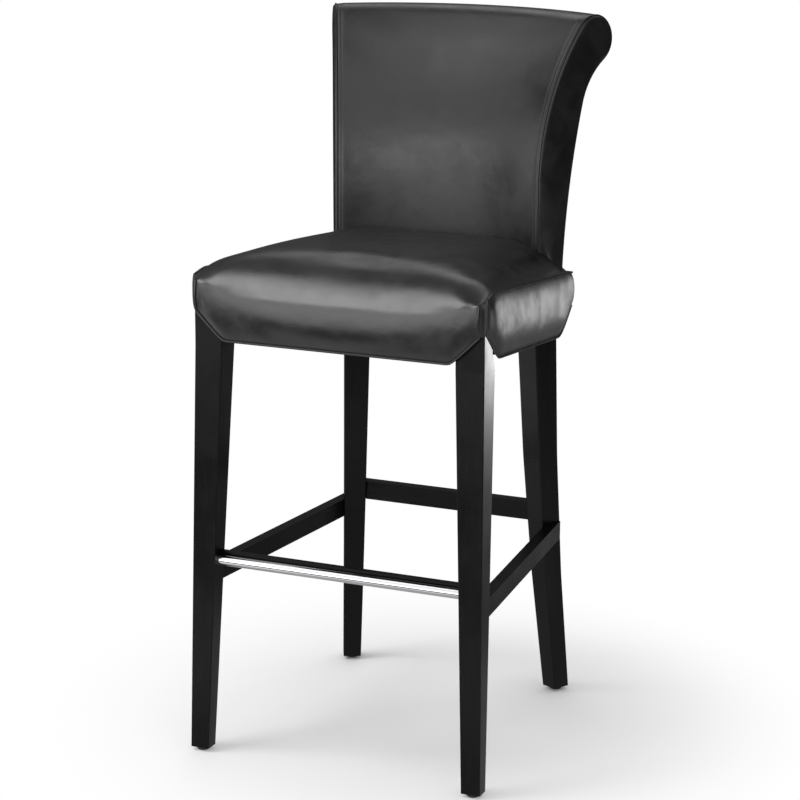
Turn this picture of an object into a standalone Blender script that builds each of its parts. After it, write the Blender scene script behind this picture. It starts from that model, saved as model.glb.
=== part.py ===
"""Upholstered bar stool: four wooden legs, a crowned seat cushion and a scrolled back.

Metres, +Z up, the sitter faces -Y. Plan positions are written from the front face of the seat
frame (y = 0) and the middle of the stool (x = 0). The back, the rear legs and everything in the
back are laid out on circles about one upright axis in front of the back. At the end the whole
stool is moved so that the middle of its footprint stands on the origin.
"""

import math
from collections import namedtuple

import bmesh
import bpy
from mathutils import Matrix, Vector

for old in list(bpy.data.objects):
    bpy.data.objects.remove(old)

# General clearances

GAP = 0.0003
OVERRUN = 0.02
WELD = 0.00001
ROUND_STEPS = 16

# Seat frame, with heights given at its front face

SEAT_HALF_WIDTH = 0.2324
SEAT_DEPTH = 0.4680
SIDE_TAPER = 0.0871
SEAT_SLOPE = 0.118
RAIL_BOTTOM = 0.6660
RAIL_HEIGHT = 0.0390
RAIL_THICKNESS = 0.0220
DECK_THICKNESS = 0.0120
CORNER_BLOCK_LEG = 0.0450
CORNER_BLOCK_HEIGHT = 0.0300
DUST_COVER_THICKNESS = 0.0010
DUST_COVER_MARGIN = 0.0060
REAR_RELIEF_SHARE = 0.8

# Front legs

LEG_TAPER_DROP = 0.0220
FRONT_LEG_WIDTH = 0.0450
FRONT_LEG_DEPTH = 0.0430
FRONT_FOOT_WIDTH = 0.0305
FRONT_FOOT_DEPTH = 0.0245
FRONT_FOOT_SPLAY = 0.0087
FRONT_FOOT_RAKE = 0.0174
LEG_EDGE_RADIUS = 0.0016

# Rear legs and the back posts that they carry

BACK_AXIS_DISTANCE = 0.4458
REAR_LEG_FROM_REAR = 0.04617
REAR_LEG_FROM_SIDE = 0.03856
REAR_SEAT_DROP = 0.0036
REAR_KNEE_SHARE = 0.5
REAR_KNEE_SWEEP = 0.0183
REAR_KNEE_SPLAY = math.radians(0.60)
REAR_FOOT_SWEEP = 0.0516
REAR_FOOT_SPLAY = math.radians(1.28)
REAR_FOOT_WIDTH = 0.0297
REAR_FOOT_DEPTH = 0.0310
REAR_LEG_WIDTH = 0.0425
REAR_LEG_DEPTH = 0.0463
REAR_LEG_TWIST = math.radians(4.44)
REAR_LEG_STEPS = 6
POST_WIDTH = 0.0320
POST_DEPTH = 0.0280
POST_STEPS = 7

# Glides

GLIDE_HEIGHT = 0.0055
GLIDE_RADIUS = 0.0095
GLIDE_ROUNDING = 0.0022
GLIDE_PIN_RADIUS = 0.0025
GLIDE_PIN_LENGTH = 0.0160

# Stretchers and foot rail

SIDE_STRETCHER_BOTTOM = 0.2668
SIDE_STRETCHER_HEIGHT = 0.0295
STRETCHER_THICKNESS = 0.0187
SIDE_STRETCHER_OUTSET = 0.0008
REAR_STRETCHER_BOTTOM = 0.2973
REAR_STRETCHER_HEIGHT = 0.0307
REAR_STRETCHER_SETBACK = 0.00877
TENON_LENGTH = 0.0100
TENON_SHARE = 0.5
DOWEL_RADIUS = 0.0030
DOWEL_IN_STRETCHER = 0.0070
DOWEL_IN_LEG = 0.0120
DOWEL_SETBACK_SHARE = 0.2
FOOTREST_RADIUS = 0.0080
FOOTREST_WALL = 0.0012
FOOTREST_HEIGHT = 0.3083
FOOTREST_SETBACK = 0.0075
FOOTREST_SOCKET = 0.0060
FOOT_BAR_HEIGHT = 0.0220
FOOT_BAR_RISE = 0.0037

# Bolts and screws

BOLT_RADIUS = 0.0030
BOLT_HEAD_RADIUS = 0.0060
BOLT_HEAD_HEIGHT = 0.0035
BOLT_LENGTH = 0.0520
SCREW_RADIUS = 0.0020
SCREW_HEAD_RADIUS = 0.0038
SCREW_HEAD_HEIGHT = 0.0022
SCREW_SUNK = 0.0010
SCREW_LENGTH = 0.0300

# Seat cover and foam

SIDE_PADDING = 0.0016
REAR_PADDING = 0.0048
FRONT_PADDING = 0.0062
COVER_THICKNESS = 0.0030
WELT_LINE_RISE = 0.0937
SIDE_HEM_DROP = 0.0044
FRONT_HEM_DROP = 0.0110
FRONT_EDGE_DROP = 0.0057
CROWN_FRONT = 0.0300
CROWN_REAR = 0.0600
CROWN_POWER = 7.0
FRONT_PUFF = 0.0060
SIDE_PUFF = 0.0055
REAR_PUFF = 0.0050
CLIP_RISE = 0.0420
FRONT_CLIP_LENGTH = 0.0475
SIDE_CLIP_LENGTH = 0.0730
SIDE_REAR_CLIP_LENGTH = 0.0750
REAR_CLIP_LENGTH = 0.0450
CORNER_DROP = 0.0080
NOTCH_WIDTH = 0.0086
NOTCH_SIDE = 0.0050
NOTCH_DEPTH = 0.0034
WELT_RADIUS = 0.0017

# Back

BACK_OVERHANG = math.radians(5.04)
BACK_FRONT_REACH = 0.0389
BACK_THICKNESS = 0.0540
BACK_STRAIGHT_RISE = 0.1010
BACK_CURVE_RISE = 0.2511
BACK_FRONT_CURVE = 0.3700
BACK_REAR_CURVE = 0.7600
BACK_REAR_CURVE_DROP = 0.0147
BACK_FOOT_DROP = 0.0697
ROLL_RADIUS = 0.0355
NECK_RADIUS = 0.0400
BACK_SKIN = 0.0022
BACK_FOAM = 0.0120
BACK_PANEL = 0.0030
BACK_CHAMFER = 0.0030
BACK_RAIL_THICKNESS = 0.0200
BACK_RAIL_HEIGHT = 0.0420
BACK_RAIL_RISE = 0.0243
BACK_BOARD = 0.0020
FOAM_END_ANGLE = math.radians(-66.0)
BACK_SECTORS = 10


# Places that follow from these sizes: heights go up and down with the seat frame, the rear legs stand
# in its rear corners on circles about the back's upright axis, and the back follows them

LEG_BLOCK_BOTTOM = RAIL_BOTTOM - LEG_TAPER_DROP
WELT_LINE_HEIGHT = RAIL_BOTTOM + WELT_LINE_RISE
SIDE_HEM_HEIGHT = RAIL_BOTTOM - SIDE_HEM_DROP
FRONT_HEM_HEIGHT = RAIL_BOTTOM - FRONT_HEM_DROP
FRONT_EDGE_HEIGHT = WELT_LINE_HEIGHT - FRONT_EDGE_DROP
BACK_STRAIGHT_TOP = WELT_LINE_HEIGHT + BACK_STRAIGHT_RISE
BACK_TOP = BACK_STRAIGHT_TOP + BACK_CURVE_RISE
BACK_REAR_STRAIGHT_TOP = WELT_LINE_HEIGHT - BACK_REAR_CURVE_DROP
BACK_FOOT = WELT_LINE_HEIGHT - BACK_FOOT_DROP
BACK_RAIL_BOTTOM = WELT_LINE_HEIGHT + BACK_RAIL_RISE

BACK_AXIS_Y = SEAT_DEPTH - BACK_AXIS_DISTANCE
REAR_LEG_Y = SEAT_DEPTH - REAR_LEG_FROM_REAR
REAR_LEG_X = SEAT_HALF_WIDTH - SIDE_TAPER * REAR_LEG_Y - REAR_LEG_FROM_SIDE
REAR_SEAT_RADIUS = math.hypot(REAR_LEG_X, REAR_LEG_Y - BACK_AXIS_Y)
REAR_SEAT_ANGLE = math.atan2(REAR_LEG_X, REAR_LEG_Y - BACK_AXIS_Y)
REAR_LEG_TURN = REAR_SEAT_ANGLE + REAR_LEG_TWIST
REAR_SEAT_HEIGHT = RAIL_BOTTOM - SEAT_SLOPE * SEAT_DEPTH - REAR_SEAT_DROP
REAR_KNEE_HEIGHT = REAR_SEAT_HEIGHT * REAR_KNEE_SHARE
REAR_KNEE_RADIUS = REAR_SEAT_RADIUS + REAR_KNEE_SWEEP
REAR_KNEE_ANGLE = REAR_SEAT_ANGLE + REAR_KNEE_SPLAY
REAR_FOOT_RADIUS = REAR_SEAT_RADIUS + REAR_FOOT_SWEEP
REAR_FOOT_ANGLE = REAR_SEAT_ANGLE + REAR_FOOT_SPLAY
REAR_STRETCHER_Y = REAR_LEG_Y + REAR_STRETCHER_SETBACK
BACK_HALF_ANGLE = REAR_SEAT_ANGLE + BACK_OVERHANG
BACK_FRONT_RADIUS = REAR_SEAT_RADIUS - BACK_FRONT_REACH


# Shapes


def circle_point(centre, radius, angle):
    return centre[0] + radius * math.cos(angle), centre[1] + radius * math.sin(angle)


def arc(centre, radius, start, end, steps):
    """Points along an arc, both ends included."""
    return [circle_point(centre, radius, start + (end - start) * k / steps) for k in range(steps + 1)]


def between(low, high, share):
    return low + (high - low) * share


def mesh_object(name, points, faces, smooth=False):
    mesh = bpy.data.meshes.new(name)
    mesh.from_pydata([tuple(p) for p in points], [], faces)
    work = bmesh.new()
    work.from_mesh(mesh)
    bmesh.ops.recalc_face_normals(work, faces=work.faces)
    work.to_mesh(mesh)
    work.free()
    piece = bpy.data.objects.new(name, mesh)
    bpy.context.collection.objects.link(piece)
    if smooth:
        mesh.shade_smooth()
        mesh.set_sharp_from_angle(angle=math.radians(35))
    return piece


def loft(name, rings, smooth=False, closed=False):
    """Rings of equally many points joined one to the next, with flat ends unless it closes.

    Smooth walls are split into triangles one way, so that a grown copy of a twisted wall
    lies at an even distance from it.
    """
    count = len(rings[0])
    points = [p for ring in rings for p in ring]
    faces = []
    spans = len(rings) if closed else len(rings) - 1
    for row in range(spans):
        here = row * count
        there = (row + 1) % len(rings) * count
        for k in range(count):
            after = (k + 1) % count
            if smooth:
                faces.append((here + k, here + after, there + after))
                faces.append((here + k, there + after, there + k))
            else:
                faces.append((here + k, here + after, there + after, there + k))
    if not closed:
        faces.append(tuple(range(count))[::-1])
        faces.append(tuple(range(len(points) - count, len(points))))
    return mesh_object(name, points, faces, smooth)


def turned(name, profile, steps, smooth=True):
    """A solid of revolution about Z from (radius, height) points that start and end on the axis."""
    inner = profile[1:-1]
    points = [Vector((0, 0, profile[0][1]))]
    for radius, height in inner:
        points += [Vector((*circle_point((0, 0), radius, math.tau * k / steps), height))
                   for k in range(steps)]
    points.append(Vector((0, 0, profile[-1][1])))
    faces = []
    for k in range(steps):
        after = (k + 1) % steps
        faces.append((0, 1 + after, 1 + k))
        for row in range(len(inner) - 1):
            here = 1 + row * steps
            faces.append((here + k, here + after, here + steps + after, here + steps + k))
        last = 1 + (len(inner) - 1) * steps
        faces.append((last + k, last + after, len(points) - 1))
    return mesh_object(name, points, faces, smooth)


def bead(name, path, radius, closed=False):
    """A round cord of piping along a path of points."""
    curve = bpy.data.curves.new(name, 'CURVE')
    curve.dimensions = '3D'
    curve.bevel_depth = radius
    curve.bevel_resolution = 1
    curve.use_fill_caps = True
    spline = curve.splines.new('POLY')
    spline.points.add(len(path) - 1)
    for point, place in zip(spline.points, path):
        point.co = (*place, 1)
    spline.use_cyclic_u = closed
    guide = bpy.data.objects.new(name, curve)
    bpy.context.collection.objects.link(guide)
    bpy.context.view_layer.update()
    shape = bpy.data.meshes.new_from_object(guide.evaluated_get(bpy.context.evaluated_depsgraph_get()))
    bpy.data.objects.remove(guide)
    work = bmesh.new()
    work.from_mesh(shape)
    bmesh.ops.remove_doubles(work, verts=work.verts, dist=WELD)
    work.to_mesh(shape)
    work.free()
    piece = bpy.data.objects.new(name, shape)
    bpy.context.collection.objects.link(piece)
    return piece


def rounded_section(width, depth, radius):
    """Corner points of a rectangle with eased edges, seen from above and counter-clockwise."""
    points = []
    for quarter, (sx, sy) in enumerate(((1, 1), (-1, 1), (-1, -1), (1, -1))):
        centre = (sx * (width / 2 - radius), sy * (depth / 2 - radius))
        start = math.pi / 2 * quarter
        points += arc(centre, radius, start, start + math.pi / 2, 2)
    return points


def cut(piece, *cutters):
    """Takes each cutter's space out of the piece and keeps the result as its plain mesh."""
    for cutter in cutters:
        cutter.hide_render = True
        cutter.display_type = 'WIRE'
        boolean = piece.modifiers.new("Cut", 'BOOLEAN')
        boolean.object = cutter
        boolean.solver = 'EXACT'
        settle(piece)
    for cutter in cutters:
        bpy.data.objects.remove(cutter)
    return piece


def unite(piece, other):
    boolean = piece.modifiers.new("Join", 'BOOLEAN')
    boolean.object = other
    boolean.operation = 'UNION'
    boolean.solver = 'EXACT'
    settle(piece)
    bpy.data.objects.remove(other)
    return piece


def settle(piece):
    bpy.context.view_layer.update()
    shape = bpy.data.meshes.new_from_object(piece.evaluated_get(bpy.context.evaluated_depsgraph_get()))
    piece.modifiers.clear()
    piece.data = shape


# Materials


def finish(name, colour, roughness, metallic=0.0):
    material = bpy.data.materials.new(name)
    material.use_nodes = True
    shader = material.node_tree.nodes["Principled BSDF"]
    shader.inputs["Base Color"].default_value = (*colour, 1)
    shader.inputs["Roughness"].default_value = roughness
    shader.inputs["Metallic"].default_value = metallic
    return material


LEATHER = finish("black_leather", (0.018, 0.018, 0.020), 0.42)
LACQUER = finish("black_lacquer", (0.012, 0.010, 0.011), 0.35)
CHROME = finish("chrome", (0.78, 0.78, 0.80), 0.08, 1.0)
STEEL = finish("zinc_steel", (0.55, 0.55, 0.56), 0.35, 1.0)
NYLON = finish("black_nylon", (0.02, 0.02, 0.02), 0.5)
FRAME_WOOD = finish("frame_wood", (0.55, 0.40, 0.24), 0.7)
FOAM = finish("foam", (0.80, 0.76, 0.62), 0.95)
CLOTH = finish("dust_cloth", (0.02, 0.02, 0.02), 0.95)

pieces = []


def keep(piece, material):
    piece.data.materials.clear()
    piece.data.materials.append(material)
    pieces.append(piece)
    return piece


# Lines that several pieces share


def sloped(y, height):
    """A height of the seat frame, given at the front, carried back along the slope of the seat."""
    return height - SEAT_SLOPE * y


def side_x(y, offset=0.0):
    """The outer side line of the seat frame, moved out by an offset."""
    return SEAT_HALF_WIDTH - SIDE_TAPER * y + offset


def polar(radius, angle, z):
    return Vector((radius * math.sin(angle), BACK_AXIS_Y + radius * math.cos(angle), z))


# Legs

FRONT_LEG_DROP = LEG_BLOCK_BOTTOM - GLIDE_HEIGHT


def front_leg_share(z):
    """How far down the taper a height is: 0 under the seat, 1 at the foot."""
    return max(0.0, (LEG_BLOCK_BOTTOM - z) / FRONT_LEG_DROP)


def front_leg_bounds(z):
    """Inner and outer side and front and rear face of a right front leg at a height."""
    share = front_leg_share(z)
    outer = SEAT_HALF_WIDTH + FRONT_FOOT_SPLAY * share
    front = -FRONT_FOOT_RAKE * share
    width = between(FRONT_LEG_WIDTH, FRONT_FOOT_WIDTH, share)
    depth = between(FRONT_LEG_DEPTH, FRONT_FOOT_DEPTH, share)
    return outer - width, outer, front, front + depth


def front_leg_ring(z, grow, trim=0.0, top=None):
    inner, outer, front, rear = front_leg_bounds(z)
    section = rounded_section(outer - inner + 2 * grow, rear - front + 2 * grow, LEG_EDGE_RADIUS)
    ring = []
    for x, y in section:
        y += (front + rear) / 2
        x += (inner + outer) / 2
        if x > (inner + outer) / 2:
            x -= trim * SIDE_TAPER * max(0.0, y - front)
        ring.append((x, y, z if top is None else sloped(y, top)))
    return ring


def front_leg(side, grow=0.0):
    top = RAIL_BOTTOM + RAIL_HEIGHT
    rings = [front_leg_ring(GLIDE_HEIGHT + GAP - grow, grow),
             front_leg_ring(LEG_BLOCK_BOTTOM, grow),
             front_leg_ring(RAIL_BOTTOM, grow, trim=1.0),
             front_leg_ring(top, grow, trim=1.0, top=top + grow)]
    return loft(f"leg_front_{side}", mirrored(rings, side), smooth=True)


def mirrored(rings, side):
    """The same rings on the sitter's other side when the side is left."""
    if side == "right":
        return rings
    return [[(-x, y, z) for x, y, z in ring][::-1] for ring in rings]


def back_front_radius(z, inset):
    """How far the back's front face, moved inwards, stands from the axis at a height."""
    start = BACK_FRONT_RADIUS + inset
    if z <= BACK_STRAIGHT_TOP:
        return start
    rise = z - BACK_STRAIGHT_TOP
    radius = BACK_FRONT_CURVE - inset
    return BACK_FRONT_RADIUS + BACK_FRONT_CURVE - math.sqrt(radius * radius - rise * rise)


DECK_TOP = RAIL_BOTTOM + RAIL_HEIGHT + GAP + DECK_THICKNESS
POST_INSET = BACK_SKIN + BACK_FOAM + BACK_PANEL + 3 * GAP
POST_TOP = BACK_TOP - ROLL_RADIUS
DECK_AT_POST = sloped(BACK_AXIS_Y + REAR_SEAT_RADIUS, DECK_TOP)
POST_START = DECK_AT_POST + DECK_THICKNESS


def rear_leg_stations():
    """Height, radius, angle, width, depth and turn, from the foot to the top of the back post."""
    heights = (GLIDE_HEIGHT + GAP, REAR_KNEE_HEIGHT, REAR_SEAT_HEIGHT)
    radii = (REAR_FOOT_RADIUS, REAR_KNEE_RADIUS, REAR_SEAT_RADIUS)
    angles = (REAR_FOOT_ANGLE, REAR_KNEE_ANGLE, REAR_SEAT_ANGLE)
    stations = []
    for k in range(REAR_LEG_STEPS + 1):
        share = k / REAR_LEG_STEPS
        z = between(heights[0], heights[2], share)
        middle = (heights[1] - heights[0]) / (heights[2] - heights[0])

        def through(values):
            """The parabola through the foot, the knee and the seat."""
            first = (1 - share) * (1 - share / middle)
            second = share * (1 - share) / (middle * (1 - middle))
            third = share * (share - middle) / (1 - middle)
            return first * values[0] + second * values[1] + third * values[2]

        width = between(REAR_FOOT_WIDTH, REAR_LEG_WIDTH, share)
        depth = between(REAR_FOOT_DEPTH, REAR_LEG_DEPTH, share)
        stations.append((z, through(radii), through(angles), width, depth, REAR_LEG_TURN))
    stations.append((DECK_AT_POST, REAR_SEAT_RADIUS, REAR_SEAT_ANGLE, REAR_LEG_WIDTH,
                     REAR_LEG_DEPTH, REAR_LEG_TURN))
    for k in range(POST_STEPS + 1):
        z = between(POST_START + DECK_THICKNESS, POST_TOP, k / POST_STEPS)
        radius = back_front_radius(z, POST_INSET + POST_DEPTH / 2)
        stations.append((z, radius, REAR_SEAT_ANGLE, POST_WIDTH, POST_DEPTH, REAR_SEAT_ANGLE))
    return stations


def rear_leg_ring(station, grow):
    z, radius, angle, width, depth, turn = station
    centre = polar(radius, angle, z)
    ring = []
    for x, y in rounded_section(width + 2 * grow, depth + 2 * grow, LEG_EDGE_RADIUS):
        across = Vector((math.cos(turn), -math.sin(turn), 0)) * x
        back = Vector((math.sin(turn), math.cos(turn), 0)) * y
        ring.append(tuple(centre + across + back))
    return ring


def rear_leg(side, grow=0.0):
    stations = rear_leg_stations()
    first = stations[0]
    stations[0] = (first[0] - grow, *first[1:])
    rings = [rear_leg_ring(station, grow) for station in stations]
    return loft(f"leg_rear_{side}", mirrored(rings, side), smooth=True)


# Back profile: radius from the back's axis and height

FRONT_CURVE_CENTRE = (BACK_FRONT_RADIUS + BACK_FRONT_CURVE, BACK_STRAIGHT_TOP)
ROLL_HEIGHT = BACK_TOP - ROLL_RADIUS
ROLL_CENTRE = (FRONT_CURVE_CENTRE[0]
               - math.sqrt((BACK_FRONT_CURVE - ROLL_RADIUS) ** 2 - (ROLL_HEIGHT - BACK_STRAIGHT_TOP) ** 2),
               ROLL_HEIGHT)
REAR_CURVE_CENTRE = (BACK_FRONT_RADIUS + BACK_THICKNESS + BACK_REAR_CURVE, BACK_REAR_STRAIGHT_TOP)


def direction(start, end):
    return math.atan2(end[1] - start[1], end[0] - start[0])


def lower_crossing(first, first_radius, second, second_radius):
    """The lower of the two points where two circles cross."""
    span = math.dist(first, second)
    along = (span * span + first_radius ** 2 - second_radius ** 2) / (2 * span)
    away = math.sqrt(first_radius ** 2 - along * along)
    heading = direction(first, second)
    foot = circle_point(first, along, heading)
    return min((circle_point(foot, away, heading + turn) for turn in (math.pi / 2, -math.pi / 2)),
               key=lambda point: point[1])


NECK_CENTRE = lower_crossing(ROLL_CENTRE, ROLL_RADIUS + NECK_RADIUS,
                             REAR_CURVE_CENTRE, BACK_REAR_CURVE - NECK_RADIUS)
ROLL_START = direction(FRONT_CURVE_CENTRE, ROLL_CENTRE)
NECK_ANGLE = direction(ROLL_CENTRE, NECK_CENTRE)
REAR_CURVE_TOP = direction(REAR_CURVE_CENTRE, NECK_CENTRE)


def front_line(inset, foot, share=1.0):
    """From the foot of the back up its front, to a share of the curve that leads into the roll."""
    points = [(BACK_FRONT_RADIUS + inset, between(foot, BACK_STRAIGHT_TOP, k / 4)) for k in range(4)]
    top = between(math.pi, ROLL_START, share)
    return points + arc(FRONT_CURVE_CENTRE, BACK_FRONT_CURVE - inset, math.pi, top, 9)


def rolled_line(inset, end_angle, foot=BACK_FOOT):
    """The front line carried on round the roll to an angle of the roll."""
    roll = arc(ROLL_CENTRE, ROLL_RADIUS - inset, ROLL_START, end_angle, ROUND_STEPS)
    return front_line(inset, foot) + roll[1:]


def rear_line(inset, foot):
    """From the neck under the roll down the rear of the back to a foot height."""
    points = arc(REAR_CURVE_CENTRE, BACK_REAR_CURVE + inset, REAR_CURVE_TOP % math.tau, math.pi, 8)
    points.append((BACK_FRONT_RADIUS + BACK_THICKNESS - inset, foot))
    return points


def back_profile(inset, foot=BACK_FOOT):
    """The whole outline of the back, moved inwards, from its front foot to its rear foot."""
    neck = arc(NECK_CENTRE, NECK_RADIUS + inset, NECK_ANGLE + math.pi, REAR_CURVE_TOP % math.tau, 4)
    return rolled_line(inset, NECK_ANGLE, foot) + neck[1:-1] + rear_line(inset, foot)


def radial_point(radius, z, angle, shift):
    """A point of an upright half-plane through the back's axis, moved square to that plane."""
    point = polar(radius, angle, z)
    return (point.x + shift * math.cos(angle), point.y - shift * math.sin(angle), z)


def sector(name, profile, half_angle, shift=0.0, chamfer=0.0, inner=None):
    """A profile swept round the back's axis, with an optional chamfer round both end faces."""
    rings = []
    if chamfer:
        rings.append([radial_point(r, z, -half_angle, -shift) for r, z in inner])
        rings.append([radial_point(r, z, -half_angle, chamfer - shift) for r, z in profile])
    else:
        rings.append([radial_point(r, z, -half_angle, -shift) for r, z in profile])
    for k in range(1, BACK_SECTORS):
        angle = between(-half_angle, half_angle, k / BACK_SECTORS)
        rings.append([radial_point(r, z, angle, 0.0) for r, z in profile])
    if chamfer:
        rings.append([radial_point(r, z, half_angle, shift - chamfer) for r, z in profile])
        rings.append([radial_point(r, z, half_angle, shift) for r, z in inner])
    else:
        rings.append([radial_point(r, z, half_angle, shift) for r, z in profile])
    return loft(name, rings, smooth=True)


FOAM_INSET = BACK_SKIN + GAP
PANEL_INSET = FOAM_INSET + BACK_FOAM + GAP
ROLL_STEP = (ROLL_START - FOAM_END_ANGLE) / ROUND_STEPS
CORE_RADIUS = (ROLL_RADIUS - FOAM_INSET - BACK_FOAM) * math.cos(ROLL_STEP / 2) - GAP


def crest_rail(grow=0.0):
    profile = arc(ROLL_CENTRE, CORE_RADIUS + grow, 0, math.tau, ROUND_STEPS)[:-1]
    return sector("back_crest_rail", profile, BACK_HALF_ANGLE, grow - FOAM_INSET - GAP)


# Seat outline: a run of places round the frame, each with what the cover does there

Place = namedtuple("Place", "x y across along padding hem top puff pinched notched")

WALL_SHARES = (0.0, 0.12, 0.3, 0.5, 0.7, 0.88, 1.0)
CROWN_SHARES = (0.975, 0.93, 0.86, 0.75, 0.6, 0.4, 0.2)
NOTCH_CLOSING_SHARE = 0.7
NOTCH_PUFF_SHARE = 0.1
WATERFALL_SHARE = 0.55
RIM_SHARE = 0.93
FRONT_HALF = SEAT_HALF_WIDTH + SIDE_PADDING - NOTCH_WIDTH
REAR_HALF = side_x(SEAT_DEPTH)
SEAT_MIDDLE = SEAT_DEPTH / 2


def front_place(x, clip=0.0, corner=0.0, puff=1.0):
    return Place(x, 0.0, 0.0, -1.0, FRONT_PADDING, FRONT_HEM_HEIGHT + CLIP_RISE * clip,
                 FRONT_EDGE_HEIGHT - CORNER_DROP * corner, FRONT_PUFF * puff, False, False)


def notch_place():
    """The bottom of the open notch between the front panel and a side panel."""
    return front_place(SEAT_HALF_WIDTH, 1.0, 1.0, NOTCH_PUFF_SHARE)._replace(notched=True)


def side_place(y, clip=0.0, drop=0.0, puff=1.0, forward=0.0):
    padding = between(SIDE_PADDING, REAR_PADDING, y / SEAT_DEPTH)
    return Place(side_x(y), y, 1.0, -forward, padding, sloped(y, SIDE_HEM_HEIGHT) + CLIP_RISE * clip,
                 sloped(y, WELT_LINE_HEIGHT) - drop, SIDE_PUFF * puff, True, False)


def rear_place(x, clip=0.0, puff=1.0):
    return side_place(SEAT_DEPTH, clip)._replace(x=x, across=0.0, along=1.0, puff=REAR_PUFF * puff)


def front_run():
    """The right half of the front panel, from its middle to its upright seam."""
    clip = FRONT_HALF - FRONT_CLIP_LENGTH
    places = [front_place(clip * k / 4) for k in range(5)]
    places.append(front_place(between(clip, FRONT_HALF, 0.5), 0.5, 0.3, 0.9))
    places.append(front_place(FRONT_HALF, 1.0, 1.0, 0.6))
    return places


def side_run():
    """The right side panel, from its front seam to the rear corner."""
    rear_clip = SEAT_DEPTH - SIDE_REAR_CLIP_LENGTH
    places = [side_place(NOTCH_SIDE, 0.93, CORNER_DROP, 0.2, forward=0.8),
              side_place(SIDE_CLIP_LENGTH / 2, 0.5, 0.0, 0.8)]
    places += [side_place(between(SIDE_CLIP_LENGTH, rear_clip, k / 5)) for k in range(6)]
    places.append(side_place(between(rear_clip, SEAT_DEPTH, 0.6), 0.5, 0.0, 0.8))
    places.append(rear_place(REAR_HALF, 0.9, 0.5)._replace(across=0.75, along=0.75))
    return places


def rear_run():
    """The right half of the rear panel, from beside the corner to its middle."""
    places = [rear_place(REAR_HALF - REAR_CLIP_LENGTH * share, 1 - share, share)
              for share in (0.15, 0.5, 1.0)]
    places += [rear_place((REAR_HALF - REAR_CLIP_LENGTH) * (1 - k / 3)) for k in range(1, 4)]
    return places


def other_side(places):
    return [place._replace(x=-place.x, across=-place.across) for place in places]


def whole_outline():
    right = front_run() + [notch_place()] + side_run() + rear_run()
    return right + other_side(right[1:-1])[::-1]


def wall_point(place, share, grow=0.0):
    """A point of the cover's outside, at a share of the way up one of its panels."""
    if place.pinched:
        bulge = place.puff * math.sin(math.pi * share)
    else:
        bulge = place.puff * math.sin(math.pi / 2 * min(1.0, share / WATERFALL_SHARE))
    out = place.padding + bulge + grow
    if place.notched:
        closing = max(0.0, share - NOTCH_CLOSING_SHARE) / (1 - NOTCH_CLOSING_SHARE)
        out -= NOTCH_DEPTH * (1 - closing) + bulge * (1 - closing)
    z = between(place.hem, place.top, share)
    return place.x + place.across * out, place.y + place.along * out, z


def crown_ring(places, share, out, lift):
    """One ring of the crowned top: the outline drawn in towards the middle, and raised."""
    ring = []
    for place in places:
        puff = 0.0 if place.pinched else place.puff * share
        reach = out(place) + puff
        x = (place.x + place.across * reach) * share
        y = between(SEAT_MIDDLE, place.y + place.along * reach, share)
        edge = place.top - sloped(place.y, WELT_LINE_HEIGHT)
        height = between(CROWN_FRONT, CROWN_REAR, y / SEAT_DEPTH) * (1 - share ** CROWN_POWER)
        ring.append((x, y, sloped(y, WELT_LINE_HEIGHT) + edge * share ** 4 + height + lift))
    return ring


def seat_outside(name, grow=0.0):
    """The whole seat as its cover shows it, hem to crown, as one closed solid."""
    places = whole_outline()
    floor = [(p.x / 2, between(SEAT_MIDDLE, p.y, 0.5), sloped(p.y, SIDE_HEM_HEIGHT) - grow) for p in places]
    rim = [(p.x * RIM_SHARE, between(SEAT_MIDDLE, p.y, RIM_SHARE), p.hem - grow) for p in places]
    walls = [[wall_point(place, share, grow) for place in places] for share in WALL_SHARES]
    walls[0] = [(x, y, z - grow) for x, y, z in walls[0]]
    crown = [crown_ring(places, share, lambda place: place.padding + grow, grow) for share in CROWN_SHARES]
    return loft(name, [floor, rim, *walls, *crown], smooth=True)


def seat_inside(name, grow, drop, floor):
    """What the cover is drawn over: the frame's outline from a floor height up to the crown."""
    places = [place._replace(across=math.copysign(1.0, place.x)) if place.notched else place
              for place in whole_outline()]
    flat = [place._replace(puff=0.0) for place in places]
    low = [(p.x + p.across * grow, p.y + p.along * grow, sloped(p.y, floor)) for p in places]
    high = [(p.x + p.across * grow, p.y + p.along * grow, p.top - drop) for p in places]
    crown = [crown_ring(flat, share, lambda place: grow, -drop) for share in CROWN_SHARES]
    return loft(name, [low, high, *crown], smooth=True)


# Front legs with their glides, sockets and mortises

SIDES = {"left": -1, "right": 1}
FRAME_TOP = RAIL_BOTTOM + RAIL_HEIGHT
FOOTREST_Y = front_leg_bounds(FOOTREST_HEIGHT)[2] + FOOTREST_SETBACK + FOOTREST_RADIUS
FOOT_BAR_TOP = FOOTREST_HEIGHT + FOOTREST_RADIUS + FOOT_BAR_RISE
FOOT_BAR_FRONT = FOOTREST_Y + FOOTREST_RADIUS + GAP
FOOT_BAR_REAR = front_leg_bounds(FOOTREST_HEIGHT)[3] - GAP


def flipped(piece, sign):
    """The piece itself, or its mirror image on the sitter's other side."""
    if sign < 0:
        piece.data.transform(Matrix.Diagonal((-1, 1, 1, 1)))
        piece.data.flip_normals()
    return piece


def turned_to(piece, place, axis):
    """Lays a piece that was turned about Z along another axis, from a starting place."""
    turn = Vector((0, 0, 1)).rotation_difference(Vector(axis)).to_matrix().to_4x4()
    piece.data.transform(Matrix.Translation(place) @ turn)
    return piece


def rod(name, start, axis, length, radius, steps=12):
    profile = [(0, 0), (radius, 0), (radius, length), (0, length)]
    return turned_to(turned(name, profile, steps), start, axis)


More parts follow.
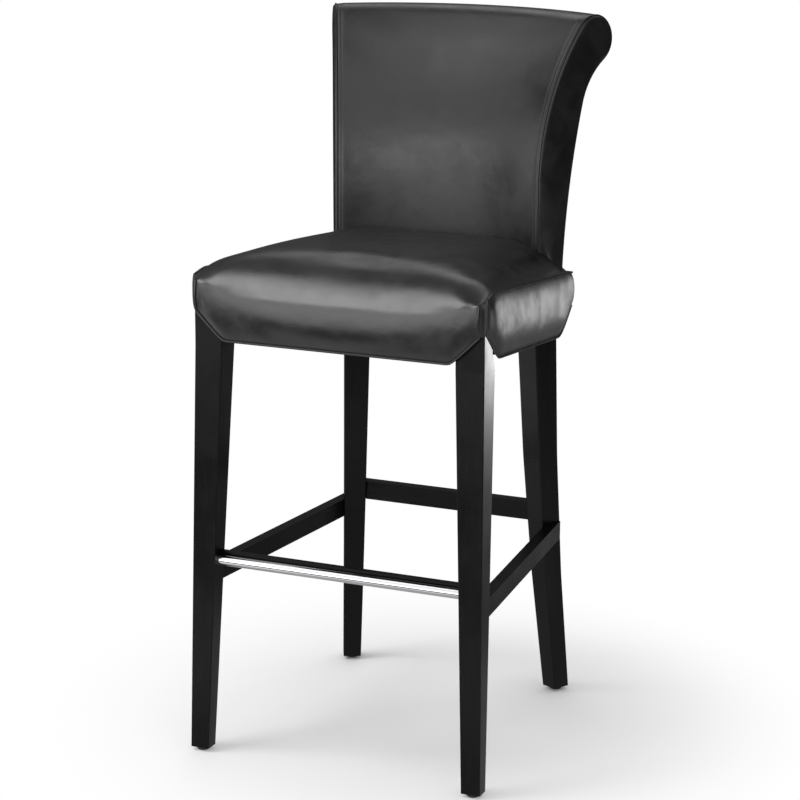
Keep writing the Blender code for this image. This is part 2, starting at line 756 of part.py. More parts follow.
def headed(name, start, axis, head_radius, head_height, radius, length, grow=0.0, reach=0.0):
    """A bolt or screw whose head's outer face is at the start and whose shank runs along the axis."""
    profile = [(0, -reach), (head_radius + grow, -reach), (head_radius + grow, head_height + grow),
               (radius + grow, head_height + grow), (radius + grow, length + grow), (0, length + grow)]
    return turned_to(turned(name, profile, 12), start, axis)


def plank(name, corners, low, high):
    """An upright board on plan corners, its top and bottom following the slope of the seat."""
    return loft(name, [[(x, y, sloped(y, z)) for x, y in corners] for z in (low, high)])


def beam(name, corners, low, high):
    """A level bar on plan corners."""
    return loft(name, [[(x, y, z) for x, y in corners] for z in (low, high)])


def side_relief(high, low):
    """The wedge under a clipped corner that is sawn off a side rail, from its high to its low end.

    Each end is a distance behind the frame's front and a share of the clip's rise.
    """
    floor = sloped(SEAT_DEPTH, RAIL_BOTTOM) - OVERRUN
    outline = [(high[0], floor), (low[0], floor)]
    outline += [(y, sloped(y, RAIL_BOTTOM) + CLIP_RISE * share) for y, share in (low, high)]
    return loft("relief", [[(x, y, z) for y, z in outline] for x in (0, SEAT_HALF_WIDTH + OVERRUN)])


def rear_relief():
    """The wedge that is sawn off the right end of the rear rail."""
    bottom = sloped(SEAT_DEPTH, RAIL_BOTTOM)
    top = bottom + CLIP_RISE * REAR_RELIEF_SHARE
    start, floor = REAR_HALF - REAR_CLIP_LENGTH, bottom - OVERRUN
    outline = [(start, floor), (REAR_HALF, floor), (REAR_HALF, top), (start, bottom)]
    return loft("relief", [[(x, y, z) for x, z in outline] for y in (0, SEAT_DEPTH + OVERRUN)])


def glide(name, spot, grow=0.0):
    shoulder = GLIDE_RADIUS - GLIDE_ROUNDING
    foot = arc((shoulder, GLIDE_ROUNDING), GLIDE_ROUNDING, -math.pi / 2, 0, 3)
    pin = GLIDE_PIN_RADIUS + grow
    top = GLIDE_HEIGHT + GLIDE_PIN_LENGTH + grow
    profile = [(0, 0), *foot, (GLIDE_RADIUS, GLIDE_HEIGHT), (pin, GLIDE_HEIGHT), (pin, top), (0, top)]
    return turned_to(turned(name, profile, ROUND_STEPS), spot, (0, 0, 1))


def footrest_end():
    return front_leg_bounds(FOOTREST_HEIGHT)[0] + FOOTREST_SOCKET


def side_stretcher_corners(front, rear, low_share=0.0, high_share=1.0):
    """Plan corners of the right side stretcher, or of a middle share of its thickness."""
    outer = side_x(0.0, SIDE_STRETCHER_OUTSET)
    inside = outer - STRETCHER_THICKNESS * (1 - low_share)
    outside = outer - STRETCHER_THICKNESS * (1 - high_share)
    return [(inside - SIDE_TAPER * front, front), (outside - SIDE_TAPER * front, front),
            (outside - SIDE_TAPER * rear, rear), (inside - SIDE_TAPER * rear, rear)]


TENON_LOW = (1 - TENON_SHARE) / 2
TENON_HIGH = (1 + TENON_SHARE) / 2


def side_tenon(grow=0.0):
    rear_face = front_leg_bounds(SIDE_STRETCHER_BOTTOM)[3]
    margin = grow / STRETCHER_THICKNESS
    corners = side_stretcher_corners(rear_face - TENON_LENGTH - grow, rear_face + OVERRUN,
                                     TENON_LOW - margin, TENON_HIGH + margin)
    low = SIDE_STRETCHER_BOTTOM + SIDE_STRETCHER_HEIGHT * TENON_LOW - grow
    high = SIDE_STRETCHER_BOTTOM + SIDE_STRETCHER_HEIGHT * TENON_HIGH + grow
    return beam("tenon", corners, low, high)


def cross_tenons(front, rear, low, high, reach, grow=0.0):
    """One long tenon from leg to leg, through the middle of a cross bar."""
    thin = (rear - front) * TENON_LOW - grow
    short = (high - low) * TENON_LOW - grow
    end = reach + grow
    corners = [(-end, front + thin), (end, front + thin), (end, rear - thin), (-end, rear - thin)]
    return beam("tenon", corners, low + short, high - short)


FOOT_BAR_REACH = front_leg_bounds(FOOTREST_HEIGHT)[0] + TENON_LENGTH


def foot_bar_tenon(grow=0.0):
    return cross_tenons(FOOT_BAR_FRONT, FOOT_BAR_REAR, FOOT_BAR_TOP - FOOT_BAR_HEIGHT, FOOT_BAR_TOP,
                        FOOT_BAR_REACH, grow)


BLOCK_FRONT = RAIL_THICKNESS + GAP
BLOCK_CORNER = (SEAT_HALF_WIDTH - FRONT_LEG_WIDTH - GAP, FRONT_LEG_DEPTH + GAP)


def block_bolt(sign, grow=0.0, reach=0.0):
    """The bolt through a corner block, along the diagonal of the front leg."""
    axis = Vector((1, -1, 0)).normalized()
    start = Vector((BLOCK_CORNER[0], BLOCK_CORNER[1], 0)) - axis * (BOLT_LENGTH / 2)
    start.z = sloped(FRONT_LEG_DEPTH, FRAME_TOP - CORNER_BLOCK_HEIGHT / 2)
    name = "block_bolt_right" if sign > 0 else "block_bolt_left"
    piece = headed(name, start, axis, BOLT_HEAD_RADIUS, BOLT_HEAD_HEIGHT, BOLT_RADIUS, BOLT_LENGTH,
                   grow, reach)
    return flipped(piece, sign)


LEG_FACE = Vector((math.cos(REAR_LEG_TURN), -math.sin(REAR_LEG_TURN), 0))
LEG_BACKWARD = Vector((math.sin(REAR_LEG_TURN), math.cos(REAR_LEG_TURN), 0))


def rear_leg_at(z):
    """Centre, width and depth of a right rear leg at a height below the deck."""
    stations = rear_leg_stations()
    for lower, upper in zip(stations, stations[1:]):
        if lower[0] <= z <= upper[0]:
            share = (z - lower[0]) / (upper[0] - lower[0])
            radius, angle, width, depth = (between(a, b, share) for a, b in zip(lower[1:5], upper[1:5]))
            return polar(radius, angle, z), width, depth
    return polar(REAR_SEAT_RADIUS, REAR_SEAT_ANGLE, z), REAR_LEG_WIDTH, REAR_LEG_DEPTH


SIDE_STRETCHER_MIDDLE = SIDE_STRETCHER_BOTTOM + SIDE_STRETCHER_HEIGHT / 2
REAR_STRETCHER_TOP = REAR_STRETCHER_BOTTOM + REAR_STRETCHER_HEIGHT


def stretcher_dowel(sign, grow=0.0):
    """The dowel from a side stretcher's mitre into the rear leg, square to the leg's face."""
    centre, width, depth = rear_leg_at(SIDE_STRETCHER_MIDDLE)
    start = centre + LEG_FACE * (width / 2 + DOWEL_IN_STRETCHER)
    start -= LEG_BACKWARD * depth * DOWEL_SETBACK_SHARE
    name = "stretcher_dowel_right" if sign > 0 else "stretcher_dowel_left"
    piece = rod(name, start + LEG_FACE * grow, -LEG_FACE, DOWEL_IN_STRETCHER + DOWEL_IN_LEG + 2 * grow,
                DOWEL_RADIUS + grow)
    return flipped(piece, sign)


def rear_stretcher_tenon(grow=0.0):
    centre, width, depth = rear_leg_at(REAR_STRETCHER_BOTTOM)
    return cross_tenons(REAR_STRETCHER_Y, REAR_STRETCHER_Y + STRETCHER_THICKNESS, REAR_STRETCHER_BOTTOM,
                        REAR_STRETCHER_TOP, centre.x, grow)


def rear_screw(sign, grow=0.0, reach=0.0):
    """The screw from a side rail into the rear leg, its head sunk in the rail."""
    z = sloped(REAR_LEG_Y, RAIL_BOTTOM + RAIL_HEIGHT / 2)
    start = Vector((side_x(REAR_LEG_Y) - SCREW_SUNK, REAR_LEG_Y, z))
    name = "rear_screw_right" if sign > 0 else "rear_screw_left"
    piece = headed(name, start, (-1, 0, 0), SCREW_HEAD_RADIUS, SCREW_HEAD_HEIGHT, SCREW_RADIUS,
                   SCREW_LENGTH, grow, reach)
    return flipped(piece, sign)


for side, sign in SIDES.items():
    leg = front_leg(side)
    inner, outer, front, rear = front_leg_bounds(GLIDE_HEIGHT)
    spot = ((inner + outer) / 2 * sign, (front + rear) / 2, 0)
    socket = rod("socket", (0, FOOTREST_Y, FOOTREST_HEIGHT), (sign, 0, 0), footrest_end() + GAP,
                 FOOTREST_RADIUS + GAP, ROUND_STEPS)
    cut(leg, glide("pin_hole", spot, GAP), socket, flipped(side_tenon(GAP), sign), foot_bar_tenon(GAP),
        block_bolt(sign, GAP))
    keep(leg, LACQUER)
    keep(glide(f"glide_front_{side}", spot), NYLON)

# Rear legs

for side, sign in SIDES.items():
    leg = rear_leg(side)
    spot = polar(REAR_FOOT_RADIUS, REAR_FOOT_ANGLE, 0)
    spot.x *= sign
    cut(leg, glide("pin_hole", spot, GAP), stretcher_dowel(sign, GAP), rear_stretcher_tenon(GAP),
        rear_screw(sign, GAP), crest_rail(GAP))
    keep(leg, LACQUER)
    keep(glide(f"glide_rear_{side}", spot), NYLON)

# Stretchers and foot rail

for side, sign in SIDES.items():
    start = front_leg_bounds(SIDE_STRETCHER_BOTTOM)[3] - TENON_LENGTH / 2
    centre, width, depth = rear_leg_at(SIDE_STRETCHER_MIDDLE)
    corner = centre + LEG_FACE * width / 2 + LEG_BACKWARD * depth / 2
    stretcher = beam(f"stretcher_{side}", side_stretcher_corners(start, corner.y), SIDE_STRETCHER_BOTTOM,
                     SIDE_STRETCHER_BOTTOM + SIDE_STRETCHER_HEIGHT)
    cut(stretcher, front_leg("right", GAP), rear_leg("right", GAP))
    unite(stretcher, side_tenon())
    cut(stretcher, stretcher_dowel(1, GAP))
    keep(flipped(stretcher, sign), LACQUER)
    keep(stretcher_dowel(sign), FRAME_WOOD)

rear_reach = rear_leg_at(REAR_STRETCHER_BOTTOM)[0].x
rear_face = REAR_STRETCHER_Y + STRETCHER_THICKNESS
rear_bar = beam("stretcher_rear", [(-rear_reach, REAR_STRETCHER_Y), (rear_reach, REAR_STRETCHER_Y),
                                   (rear_reach, rear_face), (-rear_reach, rear_face)],
                REAR_STRETCHER_BOTTOM, REAR_STRETCHER_TOP)
cut(rear_bar, rear_leg("left", GAP), rear_leg("right", GAP))
keep(unite(rear_bar, rear_stretcher_tenon()), LACQUER)

foot_bar = beam("stretcher_front", [(-FOOT_BAR_REACH, FOOT_BAR_FRONT), (FOOT_BAR_REACH, FOOT_BAR_FRONT),
                                    (FOOT_BAR_REACH, FOOT_BAR_REAR), (-FOOT_BAR_REACH, FOOT_BAR_REAR)],
                FOOT_BAR_TOP - FOOT_BAR_HEIGHT, FOOT_BAR_TOP)
cut(foot_bar, front_leg("left", GAP), front_leg("right", GAP))
keep(unite(foot_bar, foot_bar_tenon()), LACQUER)

tube_rings = []
for k in range(ROUND_STEPS):
    angle = math.tau * k / ROUND_STEPS
    ring = []
    for x, radius in ((-1, FOOTREST_RADIUS), (1, FOOTREST_RADIUS), (1, FOOTREST_RADIUS - FOOTREST_WALL),
                      (-1, FOOTREST_RADIUS - FOOTREST_WALL)):
        y, z = circle_point((FOOTREST_Y, FOOTREST_HEIGHT), radius, angle)
        ring.append((x * footrest_end(), y, z))
    tube_rings.append(ring)
keep(loft("footrest_tube", tube_rings, smooth=True, closed=True), CHROME)

# Seat frame

leg_inner = SEAT_HALF_WIDTH - FRONT_LEG_WIDTH - GAP
front_rail = plank("rail_front", [(-leg_inner, 0), (leg_inner, 0), (leg_inner, RAIL_THICKNESS),
                                  (-leg_inner, RAIL_THICKNESS)], RAIL_BOTTOM, FRAME_TOP)
keep(front_rail, FRAME_WOOD)

for side, sign in SIDES.items():
    start = FRONT_LEG_DEPTH + GAP
    rail = plank(f"rail_{side}", [(side_x(start, -RAIL_THICKNESS), start), (side_x(start), start),
                                  (side_x(SEAT_DEPTH), SEAT_DEPTH),
                                  (side_x(SEAT_DEPTH, -RAIL_THICKNESS), SEAT_DEPTH)],
                 RAIL_BOTTOM, FRAME_TOP)
    cut(rail, rear_leg("right", GAP), rear_screw(1, GAP, OVERRUN),
        side_relief((0, 1), (SIDE_CLIP_LENGTH, 0)),
        side_relief((SEAT_DEPTH + GAP, REAR_RELIEF_SHARE), (SEAT_DEPTH - SIDE_REAR_CLIP_LENGTH, 0)))
    keep(flipped(rail, sign), FRAME_WOOD)
    keep(rear_screw(sign), STEEL)

    far = BLOCK_CORNER[1] + CORNER_BLOCK_LEG
    block = plank(f"corner_block_{side}", [
        (BLOCK_CORNER[0], BLOCK_FRONT), (BLOCK_CORNER[0], BLOCK_CORNER[1]),
        (side_x(BLOCK_CORNER[1], -RAIL_THICKNESS - GAP), BLOCK_CORNER[1]),
        (side_x(far, -RAIL_THICKNESS - GAP), far),
        (BLOCK_CORNER[0] - CORNER_BLOCK_LEG, BLOCK_FRONT)], FRAME_TOP - CORNER_BLOCK_HEIGHT, FRAME_TOP)
    cut(block, block_bolt(1, GAP, OVERRUN))
    keep(flipped(block, sign), FRAME_WOOD)
    keep(block_bolt(sign), STEEL)

back_start = SEAT_DEPTH - RAIL_THICKNESS
back_end = side_x(back_start, -RAIL_THICKNESS - GAP)
rear_end = side_x(SEAT_DEPTH, -RAIL_THICKNESS - GAP)
rear_rail = plank("rail_rear", [(-back_end, back_start), (back_end, back_start), (rear_end, SEAT_DEPTH),
                                (-rear_end, SEAT_DEPTH)], RAIL_BOTTOM, FRAME_TOP)
cut(rear_rail, rear_leg("left", GAP), rear_leg("right", GAP), rear_relief(), flipped(rear_relief(), -1))
keep(rear_rail, FRAME_WOOD)


deck_front, deck_rear = GAP, SEAT_DEPTH - GAP
deck = plank("seat_board", [(-side_x(deck_front, -GAP), deck_front), (side_x(deck_front, -GAP), deck_front),
                            (side_x(deck_rear, -GAP), deck_rear), (-side_x(deck_rear, -GAP), deck_rear)],
             FRAME_TOP + GAP, DECK_TOP)
cut(deck, rear_leg("left", GAP), rear_leg("right", GAP))
keep(deck, FRAME_WOOD)

side_start, side_end = SIDE_CLIP_LENGTH, SEAT_DEPTH - SIDE_REAR_CLIP_LENGTH
half_plan = [(FRONT_HALF - FRONT_CLIP_LENGTH, DUST_COVER_MARGIN),
             (side_x(side_start, -DUST_COVER_MARGIN), side_start),
             (side_x(side_end, -DUST_COVER_MARGIN), side_end),
             (REAR_HALF - REAR_CLIP_LENGTH, SEAT_DEPTH - DUST_COVER_MARGIN)]
dust_cover = plank("dust_cover", half_plan + [(-x, y) for x, y in half_plan[::-1]],
                   RAIL_BOTTOM - GAP - DUST_COVER_THICKNESS, RAIL_BOTTOM - GAP)
cut(dust_cover, front_leg("left", GAP), front_leg("right", GAP), rear_leg("left", GAP),
    rear_leg("right", GAP))
keep(dust_cover, CLOTH)

# Seat foam and cover

foam = seat_inside("seat_foam", 0.0, COVER_THICKNESS + GAP, DECK_TOP + GAP)
cut(foam, rear_leg("left", GAP), rear_leg("right", GAP))
keep(foam, FOAM)

cover = seat_outside("seat_cover")
cut(cover, seat_inside("hollow", GAP, COVER_THICKNESS, FRONT_HEM_HEIGHT - OVERRUN),
    rear_leg("left", GAP), rear_leg("right", GAP))
keep(cover, LEATHER)

# Piping on the seat, half sunk in the seams

SUNK_SHARE = 0.3


def seam(places, share):
    return [wall_point(place, share, WELT_RADIUS * SUNK_SHARE) for place in places]


def up_seam(place):
    return [wall_point(place, share, WELT_RADIUS * SUNK_SHARE) for share in WALL_SHARES]


def piping(name, path, closed=False):
    piece = bead(name, path, WELT_RADIUS, closed)
    cut(piece, seat_outside("seat", GAP))
    return keep(piece, LEATHER)


front = other_side(front_run()[1:])[::-1] + front_run()
piping("welt_seat_front", up_seam(front[0])[::-1] + seam(front[1:-1], 0.0) + up_seam(front[-1]))
for side, sign in SIDES.items():
    run = side_run() if sign > 0 else other_side(side_run())
    path = up_seam(run[0])[::-1] + seam(run[1:-1], 0.0) + up_seam(run[-1]) + seam(run[1:-1], 1.0)[::-1]
    piping(f"welt_seat_{side}", path, closed=True)
rear = other_side(rear_run()) + rear_run()[-2::-1]
piping("welt_seat_rear_top", seam(rear, 1.0))
piping("welt_seat_rear_hem", seam(rear, 0.0))

# Back

cover = sector("back_cover", back_profile(0.0), BACK_HALF_ANGLE, chamfer=BACK_CHAMFER,
               inner=back_profile(BACK_CHAMFER))
hollow = sector("hollow", back_profile(BACK_SKIN, BACK_FOOT - OVERRUN), BACK_HALF_ANGLE, -BACK_SKIN)
cut(cover, hollow, seat_outside("seat", GAP))
keep(cover, LEATHER)

pad = rolled_line(FOAM_INSET, FOAM_END_ANGLE) + rolled_line(FOAM_INSET + BACK_FOAM, FOAM_END_ANGLE)[::-1]
back_foam = sector("back_foam", pad, BACK_HALF_ANGLE, -FOAM_INSET)
cut(back_foam, seat_outside("seat", GAP))
keep(back_foam, FOAM)

keep(crest_rail(), FRAME_WOOD)

PANEL_TOP_SHARE = 0.8
panel = front_line(PANEL_INSET, BACK_RAIL_BOTTOM, PANEL_TOP_SHARE)
panel += front_line(PANEL_INSET + BACK_PANEL, BACK_RAIL_BOTTOM, PANEL_TOP_SHARE)[::-1]
keep(sector("back_panel", panel, BACK_HALF_ANGLE, -FOAM_INSET), FRAME_WOOD)

rail_front = BACK_FRONT_RADIUS + POST_INSET
lower = [(rail_front, BACK_RAIL_BOTTOM), (rail_front + BACK_RAIL_THICKNESS, BACK_RAIL_BOTTOM),
         (rail_front + BACK_RAIL_THICKNESS, BACK_RAIL_BOTTOM + BACK_RAIL_HEIGHT),
         (rail_front, BACK_RAIL_BOTTOM + BACK_RAIL_HEIGHT)]
back_rail = sector("back_lower_rail", lower, REAR_SEAT_ANGLE)
cut(back_rail, rear_leg("left", GAP), rear_leg("right", GAP))
keep(back_rail, FRAME_WOOD)

board = rear_line(FOAM_INSET, BACK_RAIL_BOTTOM)[:-1]
board += rear_line(FOAM_INSET + BACK_BOARD, BACK_RAIL_BOTTOM)[-2::-1]
back_board = sector("back_board", board, BACK_HALF_ANGLE, -FOAM_INSET)
cut(back_board, seat_outside("seat", GAP))
keep(back_board, FRAME_WOOD)

EDGE_SHIFT = (WELT_RADIUS + GAP - BACK_CHAMFER / math.sqrt(2)) / math.sqrt(2)
for side, sign in SIDES.items():
    path = [radial_point(r, z, BACK_HALF_ANGLE * sign, EDGE_SHIFT * sign)
            for r, z in back_profile(-EDGE_SHIFT)]
    piping(f"welt_back_{side}", path)

# The whole stool, its footprint's middle over the origin

root = bpy.data.objects.new("root", None)
bpy.context.collection.objects.link(root)
low = min(v.co.y for piece in pieces for v in piece.data.vertices)
high = max(v.co.y for piece in pieces for v in piece.data.vertices)
for piece in pieces:
    piece.parent = root
root.location.y = -(low + high) / 2
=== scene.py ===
import math

import bmesh
import bpy
import numpy as np
from mathutils import Matrix, Vector
from mathutils.kdtree import KDTree


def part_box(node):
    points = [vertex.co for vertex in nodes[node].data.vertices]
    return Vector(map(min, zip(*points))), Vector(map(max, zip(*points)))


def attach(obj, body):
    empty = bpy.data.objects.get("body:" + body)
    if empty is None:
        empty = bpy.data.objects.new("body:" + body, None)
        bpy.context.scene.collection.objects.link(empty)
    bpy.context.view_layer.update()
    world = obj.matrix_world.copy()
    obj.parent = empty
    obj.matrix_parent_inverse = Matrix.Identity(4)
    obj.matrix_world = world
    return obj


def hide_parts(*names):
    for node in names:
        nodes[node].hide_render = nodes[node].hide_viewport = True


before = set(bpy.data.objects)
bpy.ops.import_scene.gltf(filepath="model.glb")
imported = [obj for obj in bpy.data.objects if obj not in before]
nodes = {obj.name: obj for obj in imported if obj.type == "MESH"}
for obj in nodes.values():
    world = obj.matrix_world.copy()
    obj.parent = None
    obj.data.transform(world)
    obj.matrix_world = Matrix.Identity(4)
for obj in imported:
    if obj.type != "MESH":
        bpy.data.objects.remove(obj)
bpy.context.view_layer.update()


# Legs and stretchers: solid hardwood, sanded, stained black and sprayed with a satin lacquer.
# The rear legs are sawn to a sabre curve, and the stretchers are tenoned and dowelled into them.

WOODEN_PARTS = ("leg_front_left", "leg_front_right", "leg_rear_left", "leg_rear_right",
                "stretcher_left", "stretcher_right", "stretcher_rear", "stretcher_front")
LACQUER_COLOUR = (0.0030, 0.0024, 0.0027)
LACQUER_WORN = (0.0056, 0.0045, 0.0050)
LACQUER_ROUGHNESS = 0.24
LACQUER_SPECULAR = 0.22
GRAIN_LENGTH = 0.090
GRAIN_WIDTH = 0.0022
GRAIN_DEPTH = 0.00003
ORANGE_PEEL_SIZE = 0.004
ORANGE_PEEL_DEPTH = 0.00001
EASED_EDGE = 0.0011
EASED_ANGLE, SHARP_ANGLE = math.radians(30), math.radians(40)
CORNER_MERGE, FLAT_ANGLE = 0.00002, math.radians(1)
SHINE_PATCH = 0.05


class Signal:
    """A number or colour on its way through some nodes, written like a Python number."""

    def __init__(self, graph, socket):
        self.graph = graph
        self.socket = socket

    def maths(self, operation, *values):
        return self.graph.node("ShaderNodeMath", {"operation": operation}, dict(enumerate(values))).out()

    def __add__(self, other):
        return self.maths('ADD', self, other)

    def __radd__(self, other):
        return self.maths('ADD', other, self)

    def __mul__(self, other):
        return self.maths('MULTIPLY', self, other)

    def __rmul__(self, other):
        return self.maths('MULTIPLY', other, self)

    def __pow__(self, other):
        return self.maths('POWER', self, other)


class Station:
    """One node, whose outputs can be asked for by name or number."""

    def __init__(self, graph, node):
        self.graph = graph
        self.node = node

    def out(self, name=0):
        return Signal(self.graph, self.node.outputs[name])


class Graph:
    """The nodes of a material or of the world."""

    def __init__(self, tree):
        self.tree = tree

    def node(self, kind, settings=None, sockets=None):
        node = self.tree.nodes.new(kind)
        for name, value in (settings or {}).items():
            setattr(node, name, value)
        for name, value in (sockets or {}).items():
            if isinstance(value, Signal):
                self.tree.links.new(value.socket, node.inputs[name])
            else:
                node.inputs[name].default_value = value
        return Station(self, node)

    def ease(self, value, low, high, start=0.0, end=1.0):
        """A smooth step from start, where the value is low, to end, where it is high."""
        return self.node("ShaderNodeMapRange", {"interpolation_type": 'SMOOTHSTEP'},
                         {"Value": value, "From Min": low, "From Max": high, "To Min": start,
                          "To Max": end}).out()


class Finish(Graph):
    """A material of this stool, built on one Principled shader."""

    def __init__(self, name, colour, roughness, metallic=0.0, specular=0.5):
        self.material = bpy.data.materials.new(name)
        self.material.use_nodes = True
        super().__init__(self.material.node_tree)
        self.shader = self.tree.nodes["Principled BSDF"]
        self.shader.inputs["Base Color"].default_value = (*colour, 1)
        self.shader.inputs["Roughness"].default_value = roughness
        self.shader.inputs["Metallic"].default_value = metallic
        self.shader.inputs["Specular IOR Level"].default_value = specular

    def place(self, scale=(1, 1, 1)):
        """The place on the piece, in metres, stretched by a scale along each axis."""
        here = self.node("ShaderNodeTexCoord").out("Object")
        return self.node("ShaderNodeMapping", {}, {"Vector": here, "Scale": scale}).out()

    def noise(self, place, size, detail=2.0, roughness=0.5):
        return self.node("ShaderNodeTexNoise", {},
                         {"Vector": place, "Scale": 1 / size, "Detail": detail,
                          "Roughness": roughness}).out("Fac")

    def blend(self, share, first, second):
        """One colour turning into another by a share."""
        station = self.node("ShaderNodeMix", {"data_type": 'RGBA'}, {0: share})
        for socket, value in ((6, first), (7, second)):
            if isinstance(value, Signal):
                self.tree.links.new(value.socket, station.node.inputs[socket])
            else:
                station.node.inputs[socket].default_value = (*value, 1)
        return station.out(2)

    def relief(self, height):
        """Bumps whose height is in metres."""
        bump = self.node("ShaderNodeBump", {}, {"Height": height, "Distance": 1.0, "Strength": 1.0})
        self.tree.links.new(bump.out().socket, self.shader.inputs["Normal"])

    def feed(self, name, value):
        self.tree.links.new(value.socket, self.shader.inputs[name])


def lacquer(name, along):
    """Black lacquer over wood whose grain runs along an axis."""
    finish = Finish(name, LACQUER_COLOUR, LACQUER_ROUGHNESS, specular=LACQUER_SPECULAR)
    stretch = [1 / GRAIN_WIDTH] * 3
    stretch[along] = 1 / GRAIN_LENGTH
    grain = finish.noise(finish.place(stretch), 1.0, 3.0, 0.55)
    peel = finish.noise(finish.place(), ORANGE_PEEL_SIZE, 1.0)
    cloud = finish.noise(finish.place(), SHINE_PATCH, 2.0)
    finish.relief(grain * GRAIN_DEPTH + peel * ORANGE_PEEL_DEPTH)
    finish.feed("Base Color", finish.blend(finish.ease(grain, 0.45, 0.75), LACQUER_COLOUR, LACQUER_WORN))
    finish.feed("Roughness", LACQUER_ROUGHNESS + 0.08 * finish.ease(cloud, 0.3, 0.7) + 0.05 * grain)
    return finish.material


def coat(piece, material):
    piece.data.materials.clear()
    piece.data.materials.append(material)


upright_lacquer = lacquer("lacquer_upright", 2)
side_lacquer = lacquer("lacquer_side_bar", 1)
cross_lacquer = lacquer("lacquer_cross_bar", 0)


def as_piece(name, points, faces, material, smooth=True):
    mesh = bpy.data.meshes.new(name)
    mesh.from_pydata([tuple(p) for p in points], [], faces)
    piece = bpy.data.objects.new(name, mesh)
    bpy.context.scene.collection.objects.link(piece)
    coat(piece, material)
    if smooth:
        mesh.shade_smooth()
    return piece


def settled(piece):
    """Applies a piece's modifiers, so that its own mesh is the final shape."""
    bpy.context.view_layer.update()
    shape = bpy.data.meshes.new_from_object(piece.evaluated_get(bpy.context.evaluated_depsgraph_get()))
    piece.modifiers.clear()
    piece.data = shape


def eased_copy(node, material, ease):
    """A CAD bar sanded smooth, with its sharp edges rounded if asked, standing for that bar."""
    work = bmesh.new()
    work.from_mesh(nodes[node].data)
    bmesh.ops.remove_doubles(work, verts=work.verts, dist=CORNER_MERGE)
    bmesh.ops.dissolve_limit(work, angle_limit=FLAT_ANGLE, verts=work.verts, edges=work.edges)
    edges = [e for e in work.edges if ease and len(e.link_faces) == 2
             and e.calc_face_angle(0) > EASED_ANGLE and e.calc_length() > 4 * EASED_EDGE]
    bmesh.ops.bevel(work, geom=edges, offset=EASED_EDGE, segments=3, profile=0.5, affect='EDGES',
                    clamp_overlap=True)
    mesh = bpy.data.meshes.new(node + "_eased")
    work.to_mesh(mesh)
    work.free()
    piece = bpy.data.objects.new(node + "_eased", mesh)
    bpy.context.scene.collection.objects.link(piece)
    coat(piece, material)
    mesh.shade_smooth()
    mesh.set_sharp_from_angle(angle=SHARP_ANGLE)
    even = piece.modifiers.new("even", 'WEIGHTED_NORMAL')
    even.keep_sharp = True
    settled(piece)
    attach(piece, "root")
    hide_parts(node)
    return piece


wooden = {}
for part in WOODEN_PARTS:
    if part.startswith("leg"):
        wooden[part] = eased_copy(part, upright_lacquer, ease=False)
    else:
        side_bar = part in ("stretcher_left", "stretcher_right")
        wooden[part] = eased_copy(part, side_lacquer if side_bar else cross_lacquer, ease=True)


# Foot rail: a round steel tube, bent from nothing and simply cut, polished and chromed. Its ends
# sit in blind holes in the front legs, just in front of the wooden bar that carries the load.

TUBE_SIDES = 48
TUBE_LENGTH_STEPS = 24
TUBE_WALL = 0.0012
SCUFF_SIZE, SCUFF_STRETCH = 0.012, (0.25, 1, 1)
RIPPLE_SIZE, RIPPLE_STRETCH, RIPPLE_DEPTH = 0.02, (1, 6, 6), 0.00004

chrome = Finish("chrome", (0.80, 0.80, 0.82), 0.07, 1.0)
scuffs = chrome.noise(chrome.place(SCUFF_STRETCH), SCUFF_SIZE, 3.0, 0.6)
chrome.feed("Roughness", 0.05 + 0.10 * chrome.ease(scuffs, 0.45, 0.8))
chrome.relief(chrome.noise(chrome.place(RIPPLE_STRETCH), RIPPLE_SIZE, 2.0) * RIPPLE_DEPTH)

tube_low, tube_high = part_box("footrest_tube")
tube_radius = (tube_high.z - tube_low.z) / 2
tube_y, tube_z = (tube_low.y + tube_high.y) / 2, (tube_low.z + tube_high.z) / 2
tube_rings = []
for radius, xs in ((tube_radius, np.linspace(tube_low.x, tube_high.x, TUBE_LENGTH_STEPS + 1)),
                   (tube_radius - TUBE_WALL, (tube_high.x, tube_low.x))):
    for x in xs:
        tube_rings.append([(x, tube_y + radius * math.cos(math.tau * k / TUBE_SIDES),
                            tube_z + radius * math.sin(math.tau * k / TUBE_SIDES))
                           for k in range(TUBE_SIDES)])


def skin(rings, closed=False):
    """Quads between rings of equally many points, and from the last back to the first if closed."""
    count, faces = len(rings[0]), []
    for row in range(len(rings) if closed else len(rings) - 1):
        here, there = row * count, (row + 1) % len(rings) * count
        for k in range(count):
            after = (k + 1) % count
            faces.append((here + k, here + after, there + after, there + k))
    return [p for ring in rings for p in ring], faces


def face_out(piece):
    work = bmesh.new()
    work.from_mesh(piece.data)
    bmesh.ops.recalc_face_normals(work, faces=work.faces)
    work.to_mesh(piece.data)
    work.free()


tube = as_piece("foot_rail_tube", *skin(tube_rings, closed=True), chrome.material)
face_out(tube)
tube.data.set_sharp_from_angle(angle=SHARP_ANGLE)
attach(tube, "root")
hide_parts("footrest_tube")


# Glides: round nylon feet, moulded with a rounded sole and a pin that is driven into the leg.

NYLON_GRAIN, NYLON_GRAIN_DEPTH, NYLON_WEAR = 0.0015, 0.00004, 0.006

nylon = Finish("black_nylon", (0.018, 0.018, 0.018), 0.45)
nylon.relief(nylon.noise(nylon.place(), NYLON_GRAIN, 2.0) * NYLON_GRAIN_DEPTH)
nylon.feed("Roughness", 0.42 + 0.18 * nylon.noise(nylon.place(), NYLON_WEAR, 2.0))
for corner in ("front_left", "front_right", "rear_left", "rear_right"):
    coat(nodes["glide_" + corner], nylon.material)


# Seat and back frame: sawn hardwood rails, blocks and boards stained black, so that nothing shines
# through under the skirts, a plywood deck left bare, and zinc plated bolts and screws.

